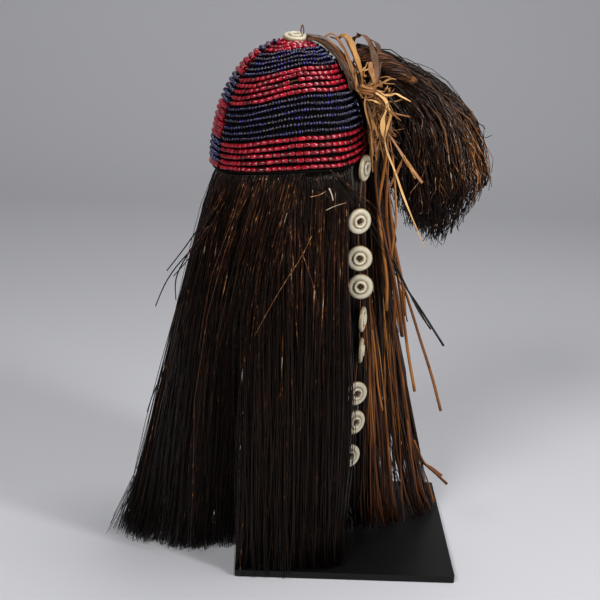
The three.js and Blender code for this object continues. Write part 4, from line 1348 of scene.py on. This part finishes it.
class HEADDRESS_OT_tuft(bpy.types.Operator):
    """Bind the tuft and bend it over the back"""

    bl_idname = "headdress.tuft"
    bl_label = "Tuft"

    def execute(self, context):
        settings = context.scene.headdress_fringe
        rng = chance("tuft")
        golden = grained_material("Aged_raffia_leaf")
        parts = [self.strands(settings.tuft_strands, rng), self.beard(rng)]
        for line in TUFT_STRAYS:
            parts.append((smooth_line(line, STRAY_STEPS)[None], TRIANGLE, 0.5, 0.5, 0.0, 0.3))
        surface = grained_material("Smoke_dark_palm_fibre")
        make_piece("tuft_fibres", swept_set(parts), surface, "tuft")
        self.bind(golden)
        self.roll(golden)
        return {"FINISHED"}

    def strands(self, count, rng):
        """Strands in locks, run on past the tuft's end and cut off along its lower outline."""
        each = (count, 1)
        locks = 110
        lock = rng.integers(0, locks, count)
        last = len(TUFT) - 1
        turn = rng.uniform(-math.pi, math.pi, locks)[lock, None] + rng.normal(0, 0.14, each)
        out = np.sqrt(rng.uniform(0.2, 1, locks))[lock, None] + rng.normal(0, 0.09, each)
        fly = np.where(rng.random(each) < 0.1, rng.uniform(0.02, 0.13, each), 0)

        fine = np.linspace(0, 1, TUFT_FINE)
        winding = turn + (rng.normal(0, 0.3, each) + rng.normal(0, 0.3, locks)[lock, None]) * fine
        lying = np.clip(out + rng.normal(0, 0.06, each) * np.sin(np.pi * fine), 0, 1) + fly * fine
        whole = tuft_point(np.broadcast_to(fine * last, (count, TUFT_FINE)), winding, lying)
        ahead = unit(whole[:, -1] - whole[:, -3])
        on = whole[:, -1, None] + ahead[:, None] * np.linspace(4, 70, 16)[:, None]
        whole = np.concatenate([whole, on], axis=1)

        end = np.interp(whole[..., 0], *np.array(TUFT_END).T) + rng.normal(0, 4, locks)[lock, None]
        end += rng.exponential(6, each) - 5
        past = (whole[..., 2] < end) & (whole[..., 0] > TUFT_END[0][0] - 6)
        stop = np.where(past.any(axis=1), past.argmax(axis=1), whole.shape[1] - 1)
        broken = rng.random(count) < 0.34
        stop = np.where(broken, stop * rng.uniform(0.5, 0.95, count), stop)

        share = np.linspace(0, 1, 14)
        along = np.minimum(stop[:, None] * share, whole.shape[1] - 1.001)
        paths = walked(whole, along)
        bends = frizzed(np.zeros((locks, 14, 3)), 4.5, rng)[lock]
        wild = np.where(rng.random((count, 1, 1)) < 0.4, 6.5, 3)
        paths = frizzed(paths + bends, wild, rng)
        taper = 0.85 * mix(1, 0.5, share) * rng.uniform(0.6, 1.35, each)
        # Painted light: golden strands on the tuft's flanks, partway along it, stand in for lit fibre
        painted_lit_flank = np.exp(-(((along / TUFT_FINE - 0.66) / 0.24) ** 2) - ((np.abs(turn) - 1.0) / 0.7) ** 2)
        golden = 0.95 * painted_lit_flank * (rng.random(each) < 0.75) * rng.uniform(0.3, 1, each)
        # Strands deeper inside the tuft are darker: painted shade
        tone = np.minimum(rng.normal(0.26, 0.17, each) * (0.4 + 0.6 * out) + golden, 0.88)
        return paths, TRIANGLE, taper, taper, 0.0, tone

    def beard(self, rng):
        """Dark fibres that hang between the cap's back and the tuft."""
        each = (330, 1)
        share = np.linspace(0, 1, 9)
        height = mix(rng.uniform(505, 588, each), rng.uniform(400, 500, each), share)
        climb = np.clip((height - ROW_LOWEST) / ROW_CLIMB, 0, 0.99)
        row = ROWS * np.degrees(np.arcsin(climb)) / ROW_ARC + 0.5
        angle = rng.uniform(-1, 1, each) * (panel_end(row) + 3)
        outside = rng.uniform(1.5, 7, each) + rng.uniform(2, 24, each) * share
        paths, _ = cap_surface(angle, np.minimum(height, DOME_BASE + DOME_RISE - 0.5), outside)
        paths = frizzed(paths, 1.8, rng)
        taper = mix(1, 0.5, share) * rng.uniform(0.4, 0.9, each)
        return paths, TRIANGLE, taper, taper, 0.0, rng.normal(0.42, 0.2, each)

    def bind(self, surface):
        """Raffia wound round the tuft's root."""
        rng = chance("binding")
        turn = np.linspace(0, 2 * math.pi, 49)
        loops = []
        for place in 0.28 * np.arange(14) / 13 - 0.06:
            lean = rng.normal(0, 0.03)
            loops.append(tuft_point(np.maximum(place + lean * np.cos(turn), 0), turn, 1.0))
        loops = np.array(loops)
        facing = loops - loops.mean(axis=1, keepdims=True)
        shape = sweep(loops, DIAMOND, 1.9, 0.7, facing, rng.uniform(0.25, 0.6, (len(loops), 1)), seed=9)
        make_piece("tuft_binding_strips", shape, surface, "tuft_binding")

    def roll(self, surface):
        """Fibre twisted into a roll that lies on the tuft and ends in a small coil."""
        rng = chance("roll")
        each = (210, 1)
        line = smooth_line(TUFT_ROLL, 22)
        share = np.linspace(0, 1, len(line))
        along = unit(np.gradient(line[:, :3], axis=0))
        across = unit(np.cross(along, (0.2, -1, 0.3)))
        up = np.cross(across, along)
        turn = rng.uniform(0, 2 * math.pi, each) + 4.5 * share * rng.uniform(0.7, 1.3, each)
        out = line[:, 3] * rng.uniform(0.7, 1.04, each) + rng.normal(0, 0.3, each)
        paths = line[None, :, :3] + out[..., None] * (
            np.cos(turn)[..., None] * across + 0.8 * np.sin(turn)[..., None] * up
        )
        paths = frizzed(paths, 1.3, rng)
        width = rng.uniform(0.35, 0.95, each) * mix(1, 0.6, share)
        tone = rng.normal(0.33, 0.18, each) + 0.45 * ease((share - 0.8) / 0.18)
        shape = swept_set([(paths, TRIANGLE, width, width * 0.8, 0.0, tone)])
        make_piece("tuft_roll", shape, surface)


class HEADDRESS_OT_ties(bpy.types.Operator):
    """Tie the pale raffia loops, knot and ends at the back of the crown"""

    bl_idname = "headdress.ties"
    bl_label = "Ties"

    def execute(self, context):
        surface = grained_material("Straw_raffia_leaf")
        for label, lines in TIES.items():
            rng = chance("tie " + label)
            leaves = [self.leaf(pale, line, rng) for pale, line in lines]
            if label == "edge":
                leaves.append(self.shoulder(rng))
            if label == "knot":
                leaves += [self.lashing(rng), self.shreds(rng)]
            make_piece(f"tie_{label}_leaf", joined(leaves), surface, "tie_" + label)
        return {"FINISHED"}

    def leaf(self, pale, line, rng):
        """One strip along a line of points and widths, a little curled and turned."""
        path = smooth_line(line, 12 * len(line))
        share = np.linspace(0, 1, len(path))
        turn = 0.4 * np.sin(5 * share + rng.uniform(0, 6)) + 0.2 * np.sin(17 * share)
        half = path[:, 3] / 2 * (1 + 0.08 * np.sin(31 * share + rng.uniform(0, 6)))
        deep = np.minimum(0.6, 0.25 * half + 0.15)
        seed = rng.integers(1000)
        tone = pale + 0.06 * np.sin(9 * share + rng.uniform(0, 6))
        return sweep(path[None, :, :3], CURLED, half, deep, TIE_FACING, tone, turn, seed)

    def shoulder(self, rng):
        """Thin brown fibres that lie under the strips, along the crown's shoulder."""
        count = 110
        line = smooth_line(TIE_SHOULDER, 14)
        share = np.linspace(0, 1, len(line))[:, None]
        aside = rng.uniform(-1, 1, (count, 1, 1)) * [[3, 12, 2]] * (0.4 + 0.6 * share)
        lift = rng.uniform(-5, 3, (count, 1, 1)) * [[0.5, 0, 1]] * (0.3 + 0.7 * share)
        paths = frizzed(line[None] + aside + lift, 1.0, rng)
        width = rng.uniform(0.35, 1.1, (count, 1)) * (1 - 0.3 * share[:, 0])
        tone = np.clip(rng.normal(0.18, 0.12, (count, 1)), 0.02, 0.6)
        return sweep(paths, DIAMOND, width, 0.35, (0.5, -0.5, 0.7), tone, seed=12)

    def lashing(self, rng):
        """Turns of leaf round the strips where they meet, pulled tight."""
        turn = np.linspace(0, 2 * math.pi, 41)
        across, deep = TIE_KNOT_SIZE
        loops = []
        for number in range(7):
            tilt = rng.normal(0, 0.35, 2)
            height = -6.5 + 13 * number / 6 + across * (tilt[0] * np.cos(turn) + tilt[1] * np.sin(turn)) * 0.5
            size = math.sqrt(1 - ((number - 3) / 4.6) ** 2) * rng.uniform(0.86, 1)
            loop = [across * size * np.cos(turn), deep * size * np.sin(turn), height]
            loops.append(np.stack(loop, -1) + TIE_KNOT)
        loops = np.array(loops)
        tone = rng.uniform(0.4, 0.72, (len(loops), 1))
        return sweep(loops, DIAMOND, 1.5, 0.7, loops - TIE_KNOT, tone, seed=10)

    def shreds(self, rng):
        """Short curled shreds of leaf below the knot."""
        count = 260
        share = np.linspace(0, 1, 9)[None, :, None]
        root = rng.normal(0, 1, (count, 1, 3)) * (8, 6, 17) + (85, -38, 517)
        way = rng.normal(0, 1, (count, 1, 3)) * (0.7, 0.4, 0.4) + (0.2, -0.1, -0.85)
        curl = rng.normal(0, 1, (count, 1, 3)) * (9, 5, 9)
        length = rng.uniform(8, 30, (count, 1, 1))
        paths = root + unit(way) * length * share + curl * share**2
        near, _ = cap_surface(-20, paths[..., 2], 5.0)
        paths[..., 0] = np.maximum(paths[..., 0], near[..., 0])
        width = rng.uniform(0.4, 1.9, (count, 1)) * (1 - 0.6 * share[..., 0] ** 2)
        tone = np.clip(rng.normal(0.46, 0.2, (count, 1)), 0.08, 0.9)
        return sweep(paths, DIAMOND, width, 0.25, (0.3, -1, 0.2), tone, seed=11)


class HEADDRESS_OT_crown(bpy.types.Operator):
    """Sew the button and its standing loop of fibre on the crown"""

    bl_idname = "headdress.crown"
    bl_label = "Crown"

    def execute(self, context):
        thickness = context.scene.headdress_buttons.thickness / MM
        shell = grained_material("Yellowed_casein")
        place, facing, spin = CROWN_BUTTON
        make_button("crown_button", CROWN_BUTTON_RADIUS, thickness, place, facing, spin, shell)
        loop = smooth_line([(x, y, CROWN + up) for x, y, up in CROWN_LOOP], 90)
        thread = grained_material("Spun_brown_thread")
        shape = twisted([loop], STRING_RADIUS, 2.2, "loop")
        make_piece("crown_loop_ply", shape, thread, "crown_loop")
        return {"FINISHED"}


class HEADDRESS_OT_stand(bpy.types.Operator):
    """Finish the stand's plate, post and padded cradle"""

    bl_idname = "headdress.stand"
    bl_label = "Stand"

    def execute(self, context):
        paint = black_paint()
        for name, surface in (("stand_plate", paint), ("stand_post", paint), ("stand_cradle", black_felt())):
            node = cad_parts[name]
            node.data.materials.clear()
            node.data.materials.append(surface)
            edge = node.modifiers.new("Broken edge", "BEVEL")
            edge.width = PLATE_EDGE * MM
            edge.segments = 3
            edge.limit_method = "ANGLE"
            edge.angle_limit = math.radians(50)
        return {"FINISHED"}


class HEADDRESS_OT_stage(bpy.types.Operator):
    """Light the object on a plain pale floor"""

    bl_idname = "headdress.stage"
    bl_label = "Stage"

    def execute(self, context):
        settings = context.scene.headdress_stage
        material, _, shader = new_material("Painted_studio_floor", Roughness=0.8)
        shader.inputs["Base Color"].default_value = settings.backdrop
        bend = np.linspace(0.2, 1.5708, 8)
        outline = [(-3, 0), (0, 0), (1, 0), (1.6, 0)]
        outline += [(1.6 + 0.8 * math.sin(a), 0.8 - 0.8 * math.cos(a)) for a in bend]
        outline += [(2.4, 2), (2.4, 4)]
        points = [(x, y, z) for y, z in outline for x in (-5, 5)]
        row = np.arange(len(outline) - 1)[:, None] * 2
        mesh = bpy.data.meshes.new("floor")
        mesh.from_pydata(points, [], (row + [0, 1, 3, 2]).tolist())
        mesh.shade_smooth()
        mesh.materials.append(material)
        floor = bpy.data.objects.new("floor", mesh)
        context.collection.objects.link(floor)

        self.light("key", (-1.2, -1.9, 2.0), 0.9, 0.6, settings.key_power)
        self.light("strip_right", (1.3, -0.9, 1.1), 0.25, 1.2, settings.fill_power)
        self.light("top", (0.4, 0.3, 2.1), 0.9, 0.5, settings.key_power * 0.35)
        world = bpy.data.worlds.new("Studio")
        world.use_nodes = True
        background = world.node_tree.nodes["Background"]
        background.inputs["Color"].default_value = linear("#C8CCD2")
        background.inputs["Strength"].default_value = 0.12
        context.scene.world = world
        context.scene.view_settings.view_transform = "Standard"
        return {"FINISHED"}

    def light(self, name, place, width, height, power):
        data = bpy.data.lights.new(name, "AREA")
        data.shape = "RECTANGLE"
        data.size = width
        data.size_y = height
        data.energy = power
        lamp = bpy.data.objects.new(name, data)
        bpy.context.collection.objects.link(lamp)
        lamp.location = place
        aim = Vector(LIGHT_AIM) - Vector(place)
        lamp.rotation_euler = aim.to_track_quat("-Z", "Y").to_euler()


SETTINGS = {
    "headdress_beads": BeadSettings,
    "headdress_fringe": FringeSettings,
    "headdress_buttons": ButtonSettings,
    "headdress_stage": StageSettings,
}
OPERATORS = (
    HEADDRESS_OT_camera,
    HEADDRESS_OT_buttons,
    HEADDRESS_OT_net,
    HEADDRESS_OT_beads,
    HEADDRESS_OT_fringe,
    HEADDRESS_OT_raffia,
    HEADDRESS_OT_tuft,
    HEADDRESS_OT_ties,
    HEADDRESS_OT_crown,
    HEADDRESS_OT_stand,
    HEADDRESS_OT_stage,
)


class HEADDRESS_PT_panel(bpy.types.Panel):
    """The headdress's settings and steps"""

    bl_idname = "HEADDRESS_PT_panel"
    bl_label = "Headdress"
    bl_space_type = "VIEW_3D"
    bl_region_type = "UI"
    bl_category = "Headdress"

    def draw(self, context):
        for name, group in SETTINGS.items():
            box = self.layout.box()
            for setting in group.__annotations__:
                box.prop(getattr(context.scene, name), setting)
        for operator in OPERATORS:
            self.layout.operator(operator.bl_idname)


def register():
    for kind in (*SETTINGS.values(), *OPERATORS, HEADDRESS_PT_panel):
        bpy.utils.register_class(kind)
    for name, group in SETTINGS.items():
        setattr(bpy.types.Scene, name, bpy.props.PointerProperty(type=group))


def unregister():
    for name in SETTINGS:
        delattr(bpy.types.Scene, name)
    for kind in reversed((*SETTINGS.values(), *OPERATORS, HEADDRESS_PT_panel)):
        bpy.utils.unregister_class(kind)


def main():
    register()
    for operator in OPERATORS:
        step = getattr(bpy.ops.headdress, operator.bl_idname.split(".")[1])
        step()


if __name__ == "__main__":
    main()
